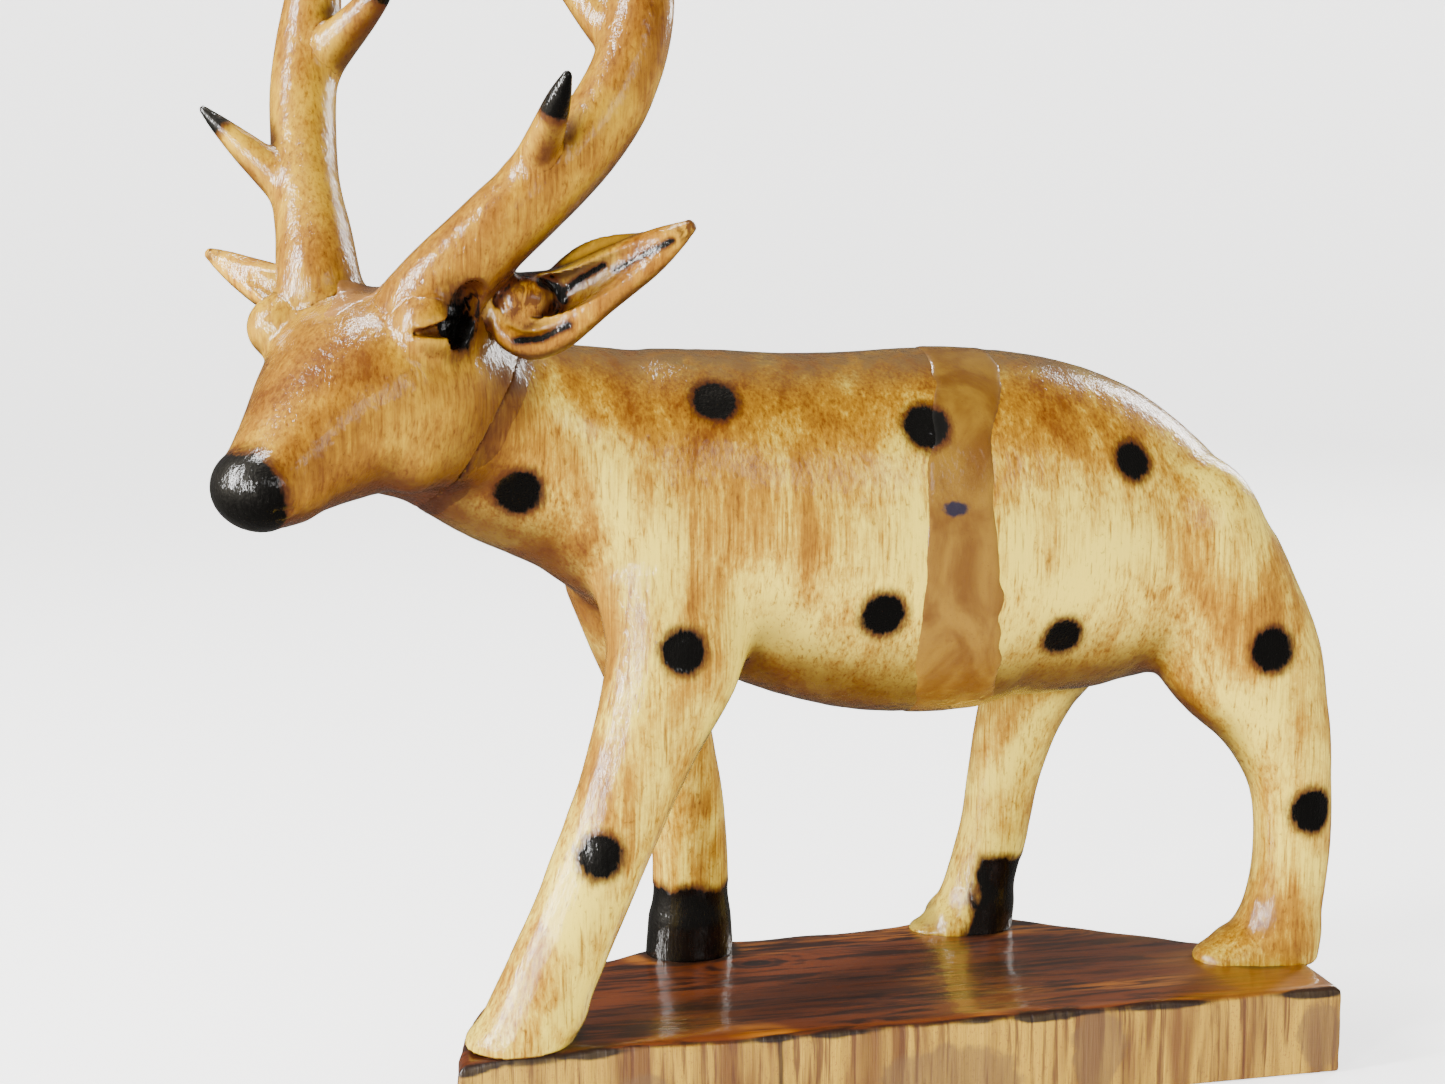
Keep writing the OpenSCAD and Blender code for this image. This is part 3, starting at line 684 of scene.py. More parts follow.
# %% Plinth
half_length = float(plinth_high[0] - plinth_low[0]) / 2
middle = float(plinth_high[0] + plinth_low[0]) / 2
front_y = float(plinth_low[1])
bark_side = [[1, -10], [0.96, 2], [0.8, 17], [0.62, 32], [0.45, 49], [0.3, 57], [0.12, 53], [-0.08, 50],
             [-0.26, 50], [-0.38, 52], [-0.48, 49], [-0.6, 39.5], [-0.74, 31], [-0.9, 12], [-0.96, -6],
             [-0.99, -26]]
curve = smooth([[half_length * r[0] + middle, r[1]] for r in bark_side], 5)
outline = np.vstack([[[middle - half_length, front_y], [middle + half_length, front_y]], curve])


def outline_distance(px, py):
    """Distance to the closed outline, negative inside."""
    best = np.full(px.shape, 1e9)
    inside = np.zeros(px.shape, bool)
    for a, b in zip(outline, np.roll(outline, -1, 0)):
        d = b - a
        t = np.clip(((px - a[0]) * d[0] + (py - a[1]) * d[1]) / max(d @ d, 1e-9), 0, 1)
        best = np.minimum(best, np.hypot(px - a[0] - t * d[0], py - a[1] - t * d[1]))
        if abs(d[1]) > 1e-9:
            crosses = ((a[1] > py) != (b[1] > py)) & (px < a[0] + (py - a[1]) * d[0] / d[1])
            inside ^= crosses
    return np.where(inside, -best, best)


def lip_at(x):
    """How far the top edge has been worn down; most at the end under the front hoof."""
    return 2.2 * ramp(-x, 118, 140)


plinth_grid = make_grid(plinth_low - 4, plinth_high + 4, 1.0)
x, y, z = mesh_grid(plinth_grid)
flat = outline_distance(*np.meshgrid(x.ravel(), y.ravel(), indexing="ij"))[:, :, None].astype(np.float32)
wobble = grid_waves(plinth_grid, 16)
dip = 0.45 * grid_waves(plinth_grid, 30)
over = z - (TOP - 0.3 - lip_at(x)) - dip * (1 - ramp(-flat, 2, 10)) * ramp(-x, -60, 60)
under = plinth_low[2] - z + 0.05
walls = flat + 0.5 + 0.45 * wobble * ramp(y, front_y + 2, front_y + 12)
wear = 4.2 + 1.6 * wobble
h = np.maximum(wear - np.abs(over - walls), 0) / wear
block = np.maximum(over, walls) + h**2 * wear / 4
block = np.maximum(block, under)
keep("plinth", block, block, plinth_grid)


# %% [markdown]
# ## Finishing the skin
# The skin is pushed in and out by the unevenness, and each burnt spot sinks a little, since it was made with
# the end of a hot iron. Then every point learns three things for the finish: how deep it lies in a hollow,
# how sharp a ridge it sits on, and how far it is inside something burnt.

# %% Burnt spots
near_spots = [[-59.7, 187], [5.2, 178], [74, 166], [-117.8, 161], [-9.4, 122], [51.3, 111], [122, 104.5],
              [-71.3, 114.7], [-96.8, 56], [138.9, 50.5]]
far_spots = [[-52, 176], [-4, 134], [44, 176], [70, 128], [103, 150], [-108, 172], [-78, 128], [-58, 62],
             [56, 66], [4, 182]]
SPOT_RADIUS = 6.4


def skin_point(x, height, side):
    """The skin's point at that place along the body and that height, on side -1 (near) or 1 (far)."""
    best = None
    for name in ("body_front", "body_rear"):
        p = made[name]["points"]
        close = p[(np.abs(p[:, 0] - x) < 2) & (np.abs(p[:, 2] - TOP - height) < 2)]
        if len(close):
            q = close[np.argmax(close[:, 1] * side)]
            if best is None or q[1] * side > best[1] * side:
                best = q
    return np.array([x, best[1], TOP + height])


spots = [skin_point(a, b, -1) for a, b in near_spots] + [skin_point(a, b, 1) for a, b in far_spots]
print(len(spots), "burnt spots")

black_tips = [(brow_left, 12), (brow_right, 8), (upper_left, 8), (upper_right, 8), (beam_left, 10),
              (beam_right, 10)]


def burnt(points):
    """How far inside a burnt patch, in millimetres; negative outside."""
    depth = np.full(len(points), -9.0)
    for n, c in enumerate(spots):
        size = SPOT_RADIUS + 0.5 * math.sin(2.3 * n)
        depth = np.maximum(depth, size - np.linalg.norm(points - c, axis=1))
    for rows, size in black_tips:
        tip = np.array(rows[-1][:3]) + [0, 0, TOP]
        depth = np.maximum(depth, size - np.linalg.norm(points - tip, axis=1))
    height = points[:, 2] - TOP
    far_front = (np.abs(points[:, 0] + 56) < 18) & (points[:, 1] > 24)
    depth = np.where(far_front, np.maximum(depth, 23 - height + 1.6 * waves(points, [3, 3, 9])), depth)
    far_rear = (points[:, 0] < 68) & (points[:, 0] > 20) & (points[:, 1] > 30)
    toe = np.minimum(24 - height, (points[:, 0] - 39 - 0.28 * height) * 0.9)
    depth = np.where(far_rear & (height < 40), np.maximum(depth, toe + 2.2 * waves(points, [4, 4, 7])), depth)
    q = head_frame(points)
    for way in (1, -1):
        socket = np.linalg.norm((q - [1, way * 30, 20.5]) / [6.4, 8.5, 9.5], axis=1)
        depth = np.maximum(depth, (1 - socket) * 5 - 0.6 + 0.9 * waves(points, [3, 3, 6]))
    ahead = q[:, 0] - 46.0 - 0.20 * np.abs(q[:, 1]) - 0.25 * (q[:, 2] + 32) + 0.8 * waves(points, 4)
    depth = np.where(q[:, 0] > 30, np.maximum(depth, np.minimum(ahead, -14.2 - q[:, 2])), depth)
    return np.clip(depth, -9, 9)


# %% [markdown]
# Pushing comes first and measuring second. A point's hollow is how much less free space lies in front of it
# than a flat surface would have, and its ridge is how little wood lies behind it.

# %% Pushing and measuring the skin
def finish_skin(name):
    m = made[name]
    points, quads = m["points"], m["quads"]
    n = normals(points, quads)
    if name == "plinth":
        sawn = ramp(-n[:, 1], 0.6, 0.9) * ramp(front_y + 3 - points[:, 1], 0, 2)
        push = 0.22 * sawn * waves(points, [2.6, 40, 60]) + 0.12 * sawn * waves(points, [9, 40, 30])
        grain = ramp(n[:, 2], 0.5, 0.9)
        push = push + 0.12 * grain * waves(points, [60, 5, 40])
        push = push + 0.25 * (1 - sawn) * (1 - grain) * waves(points, 5)
        push = np.where(n[:, 2] < -0.8, 0, push)
    else:
        push = 0.32 * waves(points, 21) + 0.12 * waves(points, 8)
        if name in ("head", "body_front", "body_rear"):
            push = push + 0.06 * waves(points, [3, 3, 14])
        sunk = burnt(points)
        if name.startswith("body") or name.endswith("filler"):
            push = push - 0.35 * ramp(sunk, -0.5, 1.5)
        if name == "flank_filler":
            push = push + 0.12 * waves(points, 4) * ramp(TOP + 150 - points[:, 2], 0, 20)
    points = points + n * push[:, None]
    n = normals(points, quads)
    ring = [1 - sample(m["total"], m["grid"], points + n * r) / r for r in (3.0, 6.0, 9.0)]
    m["hollow"] = np.clip(sum(ring) / 3, 0, 1.5)
    m["ridge"] = np.clip(1 + sample(m["total"], m["grid"], points - n * 4.0) / 4.0, 0, 1)
    # darker near the neck cut, below the top of the neck: these points count as lying deeper in a hollow
    if name in ("body_front", "head", "neck_filler"):
        from_cut = np.abs((points - neck_joint) @ neck_axis)
        near_cut = 1 - ramp(from_cut + 3 * waves(points, 9), 1, 20)
        m["hollow"] = m["hollow"] + 0.5 * near_cut * ramp(232 - points[:, 2], 0, 12)
    m["burnt"] = burnt(points)
    m["points"] = points


for name in made:
    finish_skin(name)
print("finished", len(made), "skins,", sum(len(m["quads"]) for m in made.values()), "faces in all")

# %% [markdown]
# The eye holes and the hollows of the ears have burnt shading of their own. The plinth is darker along its
# worn edge, with a painted shadow on its top round each foot.

# %% Scorched places, and painted shadow round the feet
# each dark line in the left ear: its places along the body and heights, and half its width
ear_lines = [([[-112, 221], [-107, 219], [-105.5, 216]], 1.3),
             ([[-106, 218], [-100.6, 222.2], [-95, 225.6]], 0.7),
             ([[-92, 224.2], [-84, 228.6], [-77.3, 232.2]], 0.6),
             ([[-119.5, 205], [-112.5, 205.6], [-105.3, 209.4]], 0.7)]
FEET = ([-118, -23], [-56, 41], [125, -2], [42, 46])


def off_line(points, line):
    """Distance from a line drawn on the near side, given by its places along the body and heights."""
    flat = points[:, [0, 2]] - [0, TOP]
    best = np.full(len(points), 1e9)
    for a, b in zip(np.array(line[:-1], float), np.array(line[1:], float)):
        t = np.clip((flat - a) @ (b - a) / ((b - a) @ (b - a)), 0, 1)
        best = np.minimum(best, np.linalg.norm(flat - a - t[:, None] * (b - a), axis=1))
    return np.where(points[:, 1] < -24, best, 1e9)


def eye_scorch(m, points, scorch):
    """Soot deep in the eye holes, and some in the ducts in front of them."""
    for way in (1, -1):
        q = head_frame(points) - [1, way * 33, 21]
        socket = 1 - ramp(np.linalg.norm(q / [8.5, 12, 11.5], axis=1), 0.75, 1.0)
        scorch = np.maximum(scorch, socket * ramp(m["hollow"], 0.02, 0.35))
        q = head_frame(points) - [11, way * 27.5, 18.5]
        duct = 1 - ramp(np.linalg.norm(q / [8, 6, 3], axis=1), 0.7, 1.0)
        scorch = np.maximum(scorch, 0.8 * duct * ramp(m["hollow"], 0.2, 0.6))
    return scorch


def ear_scorch(name, m, points, scorch):
    """Soot in the bowl of the ear and at its tip. The left ear has a sooty root and dark lines too."""
    rows = stations[name]
    root = np.array(rows[1][:3]) + [0, 0, TOP]
    tip = np.array(rows[-1][:3]) + [0, 0, TOP]
    from_root = np.linalg.norm(points - root, axis=1)
    scorch = np.maximum(scorch, ramp(m["hollow"], 0.25, 0.8) * (1 - 0.4 * ramp(from_root, 8, 20)))
    scorch = np.maximum(scorch, 0.6 * (1 - ramp(np.linalg.norm(points - tip, axis=1), 3, 8)))
    ball = np.linalg.norm(points - EAR_ROOT_MIDDLE - [0, 0, TOP], axis=1)
    if name == "ear_left":
        scorch = np.maximum(scorch, 0.55 * (1 - ramp(ball, 7, 10)))
        for line, width in ear_lines:
            m["burnt"] = np.maximum(m["burnt"], 3 * (width - off_line(points, line)) + waves(points, 5))
    return scorch


def plinth_darkening(points):
    """Darker along the worn edge, and a painted shadow on the top round each foot."""
    edge = np.hypot(points[:, 1] - front_y, points[:, 2] - TOP + 1.5 + lip_at(points[:, 0]))
    scorch = 1 - ramp(edge + 1.1 * waves(points, 9), 0.9, 2.4)
    under_foot = np.full(len(points), 1e9)
    for foot in FEET:
        along, across = points[:, 0] - foot[0], points[:, 1] - foot[1]
        under_foot = np.minimum(under_foot, np.hypot(along / 1.25, across))
    on_top = ramp(points[:, 2], TOP - 5, TOP - 3)
    # painted shadow: a dark ring on the top of the plinth round each foot
    scorch = np.maximum(scorch, 0.75 * on_top * (1 - ramp(under_foot + 1.5 * waves(points, 8), 12, 17)))
    return scorch


def scorch_and_shadow_of(name):
    m = made[name]
    points = m["points"]
    if name == "plinth":
        return plinth_darkening(points)
    scorch = np.zeros(len(points))
    if name in ("head", "antler_beam_left", "antler_beam_right", "ear_left", "ear_right"):
        scorch = eye_scorch(m, points, scorch)
    if name in hollows:
        scorch = ear_scorch(name, m, points, scorch)
    return scorch


for name in made:
    made[name]["scorch"] = scorch_and_shadow_of(name)
print("scorched", sum(m["scorch"].max() > 0.5 for m in made.values()), "of the pieces somewhere")

# %% [markdown]
# ## Finishes
# All the wood has the same make-up: stretched noise for the fibres and for wider stripes, soft clouds where
# the stain took more or less, darker stain in the hollows together with painted shade there and on faces
# turned downwards, scorched rims round black burns, a painted sheen along the top of the back, and over it a
# thick lacquer with a skin of its own that is bumpier than the wood.

# %% Small helpers for finishes
bench = {}


def shade(r, g, b):
    """A colour given as it looks, from 0 to 255, turned into light."""
    return tuple((v / 255) ** 2.2 for v in (r, g, b)) + (1.0,)


def add(kind, inputs=None, **settings):
    """A node in the finish that is on the bench."""
    tree = bench["tree"]
    node = tree.nodes.new("ShaderNode" + kind)
    for key, value in settings.items():
        setattr(node, key, value)
    for key, value in (inputs or {}).items():
        if isinstance(value, bpy.types.NodeSocket):
            tree.links.new(value, node.inputs[key])
        else:
            node.inputs[key].default_value = value
    return node


def new_finish(name):
    """An empty finish, put on the bench, with every place on the piece ready to be asked for."""
    m = bpy.data.materials.new(name)
    m.use_nodes = True
    m.node_tree.nodes.clear()
    bench["tree"] = m.node_tree
    surface = add("BsdfPrincipled")
    m.node_tree.links.new(surface.outputs[0], add("OutputMaterial").inputs["Surface"])
    bench["where"] = add("TexCoord").outputs["Object"]
    return m, surface


def plug(surface, **inputs):
    for key, value in inputs.items():
        socket = surface.inputs[key.replace("_", " ")]
        if isinstance(value, bpy.types.NodeSocket):
            bench["tree"].links.new(value, socket)
        else:
            socket.default_value = value


print("a mid brown is", [round(v, 3) for v in shade(128, 88, 40)], "as light")

# %% [markdown]
# A finish is a long sum, so the arithmetic gets short names too: sums, products, soft steps, blends of two
# colours, and noise laid out over the piece's own lengths, so that it's the same size on every piece.

# %% Arithmetic for finishes
def sums(operation, a, b=0.0, c=0.0):
    return add("Math", {0: a, 1: b, 2: c}, operation=operation).outputs[0]


def plus(a, b):
    return sums("ADD", a, b)


def times(a, b):
    return sums("MULTIPLY", a, b)


def scaled(a, by, offset):
    return sums("MULTIPLY_ADD", a, by, offset)


def between(value, start, end, low=0.0, high=1.0):
    """Runs softly from low to high while the value runs from start to end."""
    inputs = {"Value": value, "From Min": start, "From Max": end, "To Min": low, "To Max": high}
    return add("MapRange", inputs, interpolation_type="SMOOTHSTEP").outputs[0]


def blend(factor, a, b):
    return add("Mix", {0: factor, 6: a, 7: b}, data_type="RGBA").outputs[2]


def noise(scale, stretch=(1, 1, 1), detail=3.0, rough=0.55, twist=0.0, shift=0.0):
    placed = add("Mapping", {"Vector": bench["where"], "Location": (shift, 0.7 * shift, -shift),
                             "Scale": [scale * k for k in stretch]}).outputs[0]
    return add("TexNoise", {"Vector": placed, "Scale": 1.0, "Detail": detail, "Roughness": rough,
                            "Distortion": twist}).outputs[0]


def measured(name):
    return add("Attribute", attribute_name=name).outputs["Fac"]


def split(vector):
    return add("SeparateXYZ", {0: vector}).outputs


def facing():
    return split(add("NewGeometry").outputs["Normal"])


def off_centre(centre, stretch):
    """Distance from a centre, counted with a stretch along each direction."""
    way = add("VectorMath", {0: bench["where"], 1: centre}, operation="SUBTRACT").outputs[0]
    way = add("VectorMath", {0: way, 1: stretch}, operation="MULTIPLY").outputs[0]
    return add("VectorMath", {0: way}, operation="LENGTH").outputs["Value"]


def bumps(height, strength, distance, under=None):
    inputs = {"Height": height, "Strength": strength, "Distance": distance}
    if under is not None:
        inputs["Normal"] = under
    return add("Bump", inputs).outputs[0]


def ragged_burn():
    """How far inside a burnt patch, with an edge frayed along the fibres."""
    ragged = scaled(noise(900, (1, 1, 0.35), 3.0, 0.6), 3.2, times(noise(260), 1.6))
    return plus(measured("burnt"), sums("SUBTRACT", ragged, 2.4))


print("noise of scale 1100 repeats about every", round(1000 / 1100, 1), "mm")

# %% [markdown]
# Coal, the scorched rim round it and the grey of a painted sheen are shared by the finishes. The back of the
# statue is a little darker towards its top, and a greyish painted sheen lies along its very top, where it
# faces up.

# %% Shared colours and heights
# the third colour is the grey of a painted sheen along the top of the back
COAL, SCORCHED, PAINTED_SHEEN_GREY = shade(5, 4, 4), shade(66, 32, 6), shade(96, 76, 50)
BACK, BACK_LINE = (0.165, 0.212), (0.208, 0.226)
print("the back darkens from", BACK[0], "to", BACK[1], "m above the floor")

# %% [markdown]
# The fibres run along the grain, which is upright in the body blocks, the head and the antlers. The lacquer
# is thick enough to round off the fibres but not to hide them, so its highlights break up into streaks.

# %% Stained wood
GRAIN = (1, 1, 0.05)


def stained_wood(palette, shift, spine, hollow):
    """The wood's colour under its stain, with stain and painted shade in hollows, painted shade beneath and a
    painted sheen atop the back; and its fibres.
    """
    pale, mid, deep, stain = [shade(*colour) for colour in palette]
    fibres = noise(1100, GRAIN, 4.0, 0.6, 0.2, shift)
    stripes = noise(190, GRAIN, 3.0, 0.55, 0.5, shift + 3)
    clouds = noise(26, (1, 1, 0.75), 3.0, 0.55, 0.8, shift + 7)
    cross = noise(700, (1, 1, 0.6), 3.0, 0.7, 0.6, shift + 11)
    height = split(bench["where"])[2]
    tone = scaled(clouds, 0.46, scaled(stripes, 0.20, scaled(fibres, 0.22, times(cross, 0.12))))
    if spine:
        tone = plus(tone, between(height, *BACK, 0.025, -0.035))
    colour = blend(between(tone, 0.35, 0.50), deep, mid)
    colour = blend(between(tone, 0.455, 0.625), colour, pale)
    dark_fibres = between(fibres, 0.44, 0.30)
    colour = blend(times(dark_fibres, 0.55), colour, deep)
    flecks = between(cross, 0.40, 0.30)
    colour = blend(times(flecks, 0.35), colour, stain)
    ridge = measured("ridge")
    colour = blend(times(between(ridge, 0.25, 0.8), 0.35), colour, pale)
    # stain pooled in the hollows, and painted shade in them: the deeper the hollow, the nearer to the stain
    # colour
    depth = plus(measured("hollow"), scaled(clouds, 0.25, -0.12))
    colour = blend(between(depth, 0.06, 0.75, 0.0, hollow), colour, stain)
    # painted shade: faces turned downwards, such as the belly's, are blended towards the stain colour
    level = facing()[2]
    under = times(between(level, -0.2, -0.7), 0.9)
    colour = blend(under, colour, stain)
    # painted sheen: faces turned up along the very top of the back are blended towards grey
    if spine:
        top = times(between(level, 0.55, 0.97), between(height, *BACK_LINE))
        top = times(top, between(stripes, 0.35, 0.6, 0.45, 0.95))
        colour = blend(top, colour, PAINTED_SHEEN_GREY)
    return colour, fibres


print("fibres are drawn out", round(1 / GRAIN[2]), "times along the grain")

# %% [markdown]
# Over the stain lie the burns: a brown rim that frays outwards, and coal inside it. In the eye holes and the
# ears the brown comes in streaks and only the deepest parts are coal.

# %% Burns
def burns(colour, shift):
    """The colour with its burns, and how much of it is coal."""
    burn = ragged_burn()
    scorch = measured("scorch")
    streaks = noise(420, (1, 1, 0.5), 3.0, 0.6, 0.8, shift + 5)
    brown = times(scorch, between(streaks, 0.62, 0.40, 0.35, 1.0))
    rim = sums("MAXIMUM", between(burn, -3.9, -0.4, 0.0, 0.92), between(brown, 0.1, 0.7))
    colour = blend(rim, colour, SCORCHED)
    coal = sums("MAXIMUM", between(burn, -0.7, 0.5), between(brown, 0.62, 0.92))
    return blend(coal, colour, COAL), coal


print("coal is", round(COAL[0] / SCORCHED[0], 3), "times as light as the scorched rim")

# %% [markdown]
# The lacquer is a clear coat on top with a skin of its own. It is a little less smooth in some places than in
# others, and slightly warm, since it has yellowed.

# %% Lacquered wood
def lacquered_wood(name, palette, shift=0.0, spine=False, gloss=0.10, hollow=0.8):
    m, surface = new_finish(name)
    colour, fibres = stained_wood(palette, shift, spine, hollow)
    colour, coal = burns(colour, shift)
    grain_bump = bumps(fibres, 0.5, 0.00025)
    wood_bump = bumps(noise(900), times(coal, 0.6), 0.0004, grain_bump)
    peel = bumps(noise(340, (1, 1, 0.45), 3.0, 0.6), 0.6, 0.0007)
    skin_bump = bumps(fibres, 0.45, 0.00026, peel)
    skin_bump = bumps(noise(80, (1, 1, 0.4)), 0.35, 0.0016, skin_bump)
    worn = noise(55, (1, 1, 0.5), 2.0, 0.5, 0.0, shift + 9)
    plug(surface, Base_Color=colour, Roughness=between(fibres, 0.3, 0.7, 0.42, 0.60),
         Specular_IOR_Level=0.2, Normal=wood_bump, Coat_Weight=1.0, Coat_IOR=1.5, Coat_Normal=skin_bump,
         Coat_Roughness=between(worn, 0.3, 0.7, gloss * 0.6, gloss * 1.9), Coat_Tint=(1.0, 0.93, 0.80, 1))
    return m


# each wood: its pale, middle and deep colours and its stain
BODY = ((216, 197, 74), (152, 110, 5), (104, 61, 1), (62, 28, 1))
HEAD = ((176, 142, 18), (132, 92, 1), (92, 54, 1), (60, 27, 1))
ANTLER = ((172, 138, 16), (128, 88, 1), (88, 51, 1), (58, 26, 1))
EAR = ((196, 160, 40), (142, 96, 2), (98, 56, 1), (42, 18, 1))
body_finish = lacquered_wood("body wood", BODY, spine=True, gloss=0.055)
head_finish = lacquered_wood("head wood", HEAD, shift=2.0, gloss=0.055)
antler_finish = lacquered_wood("antler wood", ANTLER, shift=2.0, gloss=0.055)
ear_finish = lacquered_wood("ear wood", EAR, shift=2.0, gloss=0.07, hollow=1.0)
print("body, head, antler and ear wood are mixed; the body's has", len(body_finish.node_tree.nodes), "nodes")

# %% [markdown]
# Putty is smoother than the wood, browner, and has no fibres. It was mixed with sawdust, so it is finely
# mottled, and the lacquer stands on it in blobs.

# %% Putty finish
SPECK = (0.0125, -0.0235, 0.1825)


def putty_finish(name, light, dark):
    m, surface = new_finish(name)
    mottle = noise(60, (1, 1, 0.6), 4.0, 0.6, 0.6)
    dust = noise(1300, (1, 1, 1), 3.0, 0.7)
    colour = blend(between(mottle, 0.36, 0.64), dark, light)
    colour = blend(times(between(dust, 0.42, 0.28), 0.3), colour, shade(60, 32, 12))
    # stain and painted shade in the putty's hollows, darker the deeper they lie
    colour = blend(between(measured("hollow"), 0.1, 0.8, 0.0, 0.7), colour, shade(80, 42, 14))
    off = off_centre(SPECK, (0.36, 0.2, 0.62))
    off = plus(off, times(noise(500), 0.0012))
    colour = blend(between(off, 0.0024, 0.0016), colour, shade(38, 34, 52))
    burn = ragged_burn()
    colour = blend(between(burn, -3.4, -0.3, 0.0, 0.92), colour, shade(70, 32, 8))
    colour = blend(between(burn, -0.7, 0.5), colour, COAL)
    blobs = noise(300, (1, 1, 0.7), 3.0, 0.6)
    low = times(between(split(bench["where"])[2], 0.175, 0.165), 0.5)
    skin_bump = bumps(blobs, plus(low, 0.3), 0.0010)
    base_bump = bumps(dust, 0.3, 0.0002)
    plug(surface, Base_Color=colour, Roughness=between(mottle, 0.3, 0.7, 0.45, 0.65), Normal=base_bump,
         Specular_IOR_Level=0.3, Coat_Weight=1.0, Coat_Roughness=0.12, Coat_Normal=skin_bump,
         Coat_Tint=(1.0, 0.95, 0.86, 1))
    return m


flank_finish = putty_finish("flank putty", shade(128, 95, 20), shade(100, 65, 5))
COLLAR = ((192, 158, 40), (142, 96, 2), (96, 54, 1), (52, 22, 2))
collar_finish = lacquered_wood("collar putty", COLLAR, spine=True, hollow=0.95)
brow_finish = putty_finish("brow putty", shade(140, 98, 44), shade(98, 64, 26))
print("putty speck at", [round(v / MM) for v in SPECK], "mm")

# %% [markdown]
# The plinth is the same timber with a red-brown stain brushed over its planed top. The figure of the wood
# bends round a knot, and towards one end the stain is worn through to a golden colour.

# %% Planed top of the plinth
KNOT = (-0.037, 0.024, 0.029)


def planed_top(warp):
    """The colour of the top, and its figure."""
    far = off_centre(KNOT, (0.75, 1.5, 0.2))
    lines = noise(210, (0.09, 1, 1), 4.0, 0.6, 1.6)
    rings = sums("SINE", scaled(far, 1100.0, times(warp, 9.0)))
    near_knot = between(far, 0.022, 0.006)
    figure = plus(lines, times(times(rings, near_knot), 0.10))
    top = blend(between(figure, 0.40, 0.56), shade(42, 18, 6), shade(92, 44, 10))
    top = blend(times(between(warp, 0.50, 0.62), between(figure, 0.42, 0.58)), top, shade(142, 86, 14))
    top = blend(between(far, 0.0055, 0.0030), top, shade(30, 12, 8))
    golden = times(between(split(bench["where"])[0], 0.07, 0.115), between(warp, 0.38, 0.52))
    top = blend(times(golden, 0.75), top, shade(116, 74, 8))
    return top, figure


print("the knot is", round(KNOT[0] / MM), "mm along from the middle")

# %% [markdown]
# The sawn face was only lacquered, so it stays yellow, with the saw's upright lines, some grey-brown patches
# and one long upright crack.

# %% Sawn face of the plinth
# each weathered patch on the sawn face: place along it, height, half width, half height
PATCHES = [(0.010, 0.008, 0.024, 0.013), (0.0575, 0.015, 0.0095, 0.014), (0.132, 0.013, 0.008, 0.012),
           (-0.085, 0.009, 0.014, 0.010)]


def sawn_face(warp):
    """The colour of the sawn face, and the lines the saw left."""
    saw_lines = noise(520, (1, 0.1, 0.04), 4.0, 0.65, 0.2)
    saw_wide = noise(90, (1, 0.1, 0.12), 3.0, 0.6, 0.4)
    side = blend(between(saw_wide, 0.36, 0.60), shade(104, 66, 2), shade(166, 128, 8))
    side = blend(between(saw_lines, 0.50, 0.36, 0.0, 0.85), side, shade(84, 46, 16))
    pores = noise(1500, (1, 1, 0.6), 3.0, 0.7)
    side = blend(between(pores, 0.44, 0.32, 0.0, 0.6), side, shade(110, 64, 22))
    for x, height, half_width, half_height in PATCHES:
        round_patch = off_centre((x, 0, height), (1 / half_width, 0, 1 / half_height))
        ragged = plus(round_patch, scaled(noise(160), 0.7, -0.35))
        side = blend(between(ragged, 1.05, 0.82, 0.0, 0.62), side, shade(96, 68, 38))
    check = sums("ABSOLUTE", plus(plus(split(bench["where"])[0], 0.0434), scaled(warp, 0.004, -0.002)))
    side = blend(between(check, 0.0011, 0.0004, 0.0, 0.85), side, shade(50, 24, 10))
    return side, saw_lines


print(len(PATCHES), "weathered patches on the sawn face")

# %% [markdown]
# The bark side is darkest. The worn edge is darker, a painted shadow lies on the top round the feet, and the
# lacquer is thick only on the top.

# %% Plinth finish
def plinth_wood():
    m, surface = new_finish("stained plinth")
    normal = facing()
    up = between(normal[2], 0.35, 0.8)
    sawn = between(normal[1], -0.55, -0.85)
    warp = noise(22, (0.35, 1, 1), 3.0, 0.55, 1.0)
    top, figure = planed_top(warp)
    side, saw_lines = sawn_face(warp)
    bark = blend(between(noise(300, (1, 1, 0.2), 4.0, 0.7), 0.35, 0.65), shade(38, 18, 10), shade(92, 50, 24))
    colour = blend(sawn, bark, side)
    colour = blend(up, colour, top)
    # darker along the worn edge, and the painted shadow round the feet
    colour = blend(between(measured("scorch"), 0.15, 0.85, 0.0, 0.93), colour, shade(26, 12, 8))
    bump = bumps(saw_lines, times(sawn, 0.8), 0.0008)
    bump = bumps(figure, 0.3, 0.0004, bump)
    peel = bumps(noise(200, (0.5, 1, 1)), 0.35, 0.0009, bump)
    plug(surface, Base_Color=colour, Roughness=between(up, 0.0, 1.0, 0.62, 0.45), Normal=bump,
         Coat_Weight=between(up, 0.0, 1.0, 0.2, 0.8), Coat_Roughness=between(up, 0.0, 1.0, 0.3, 0.10),
         Coat_Normal=peel, Coat_Tint=(1.0, 0.93, 0.82, 1))
    return m


plinth_finish = plinth_wood()
print("the plinth's finish has", len(plinth_finish.node_tree.nodes), "nodes")

# %% [markdown]
# The dowels are hidden inside, but they are pieces too, so they get the raw, pale, unlacquered look of bought
# rod.

# %% Raw dowel wood
def raw_dowel():
    m, surface = new_finish("dowel wood")
    fibres = noise(900, (0.2, 1, 0.2), 4.0, 0.6)
    rings = noise(160, (0.3, 1, 0.6), 3.0, 0.6, 0.8)
    colour = blend(between(rings, 0.4, 0.6), shade(206, 168, 116), shade(228, 196, 150))
    colour = blend(between(fibres, 0.45, 0.3, 0.0, 0.6), colour, shade(150, 108, 62))
    bump = bumps(fibres, 0.5, 0.0003)
    plug(surface, Base_Color=colour, Roughness=between(rings, 0.3, 0.7, 0.62, 0.8), Normal=bump)
    return m


dowel_finish = raw_dowel()
for name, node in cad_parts.items():
    if "dowel" in name:
        node.data.materials.clear()
        node.data.materials.append(dowel_finish)
print("dowels:", [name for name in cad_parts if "dowel" in name])
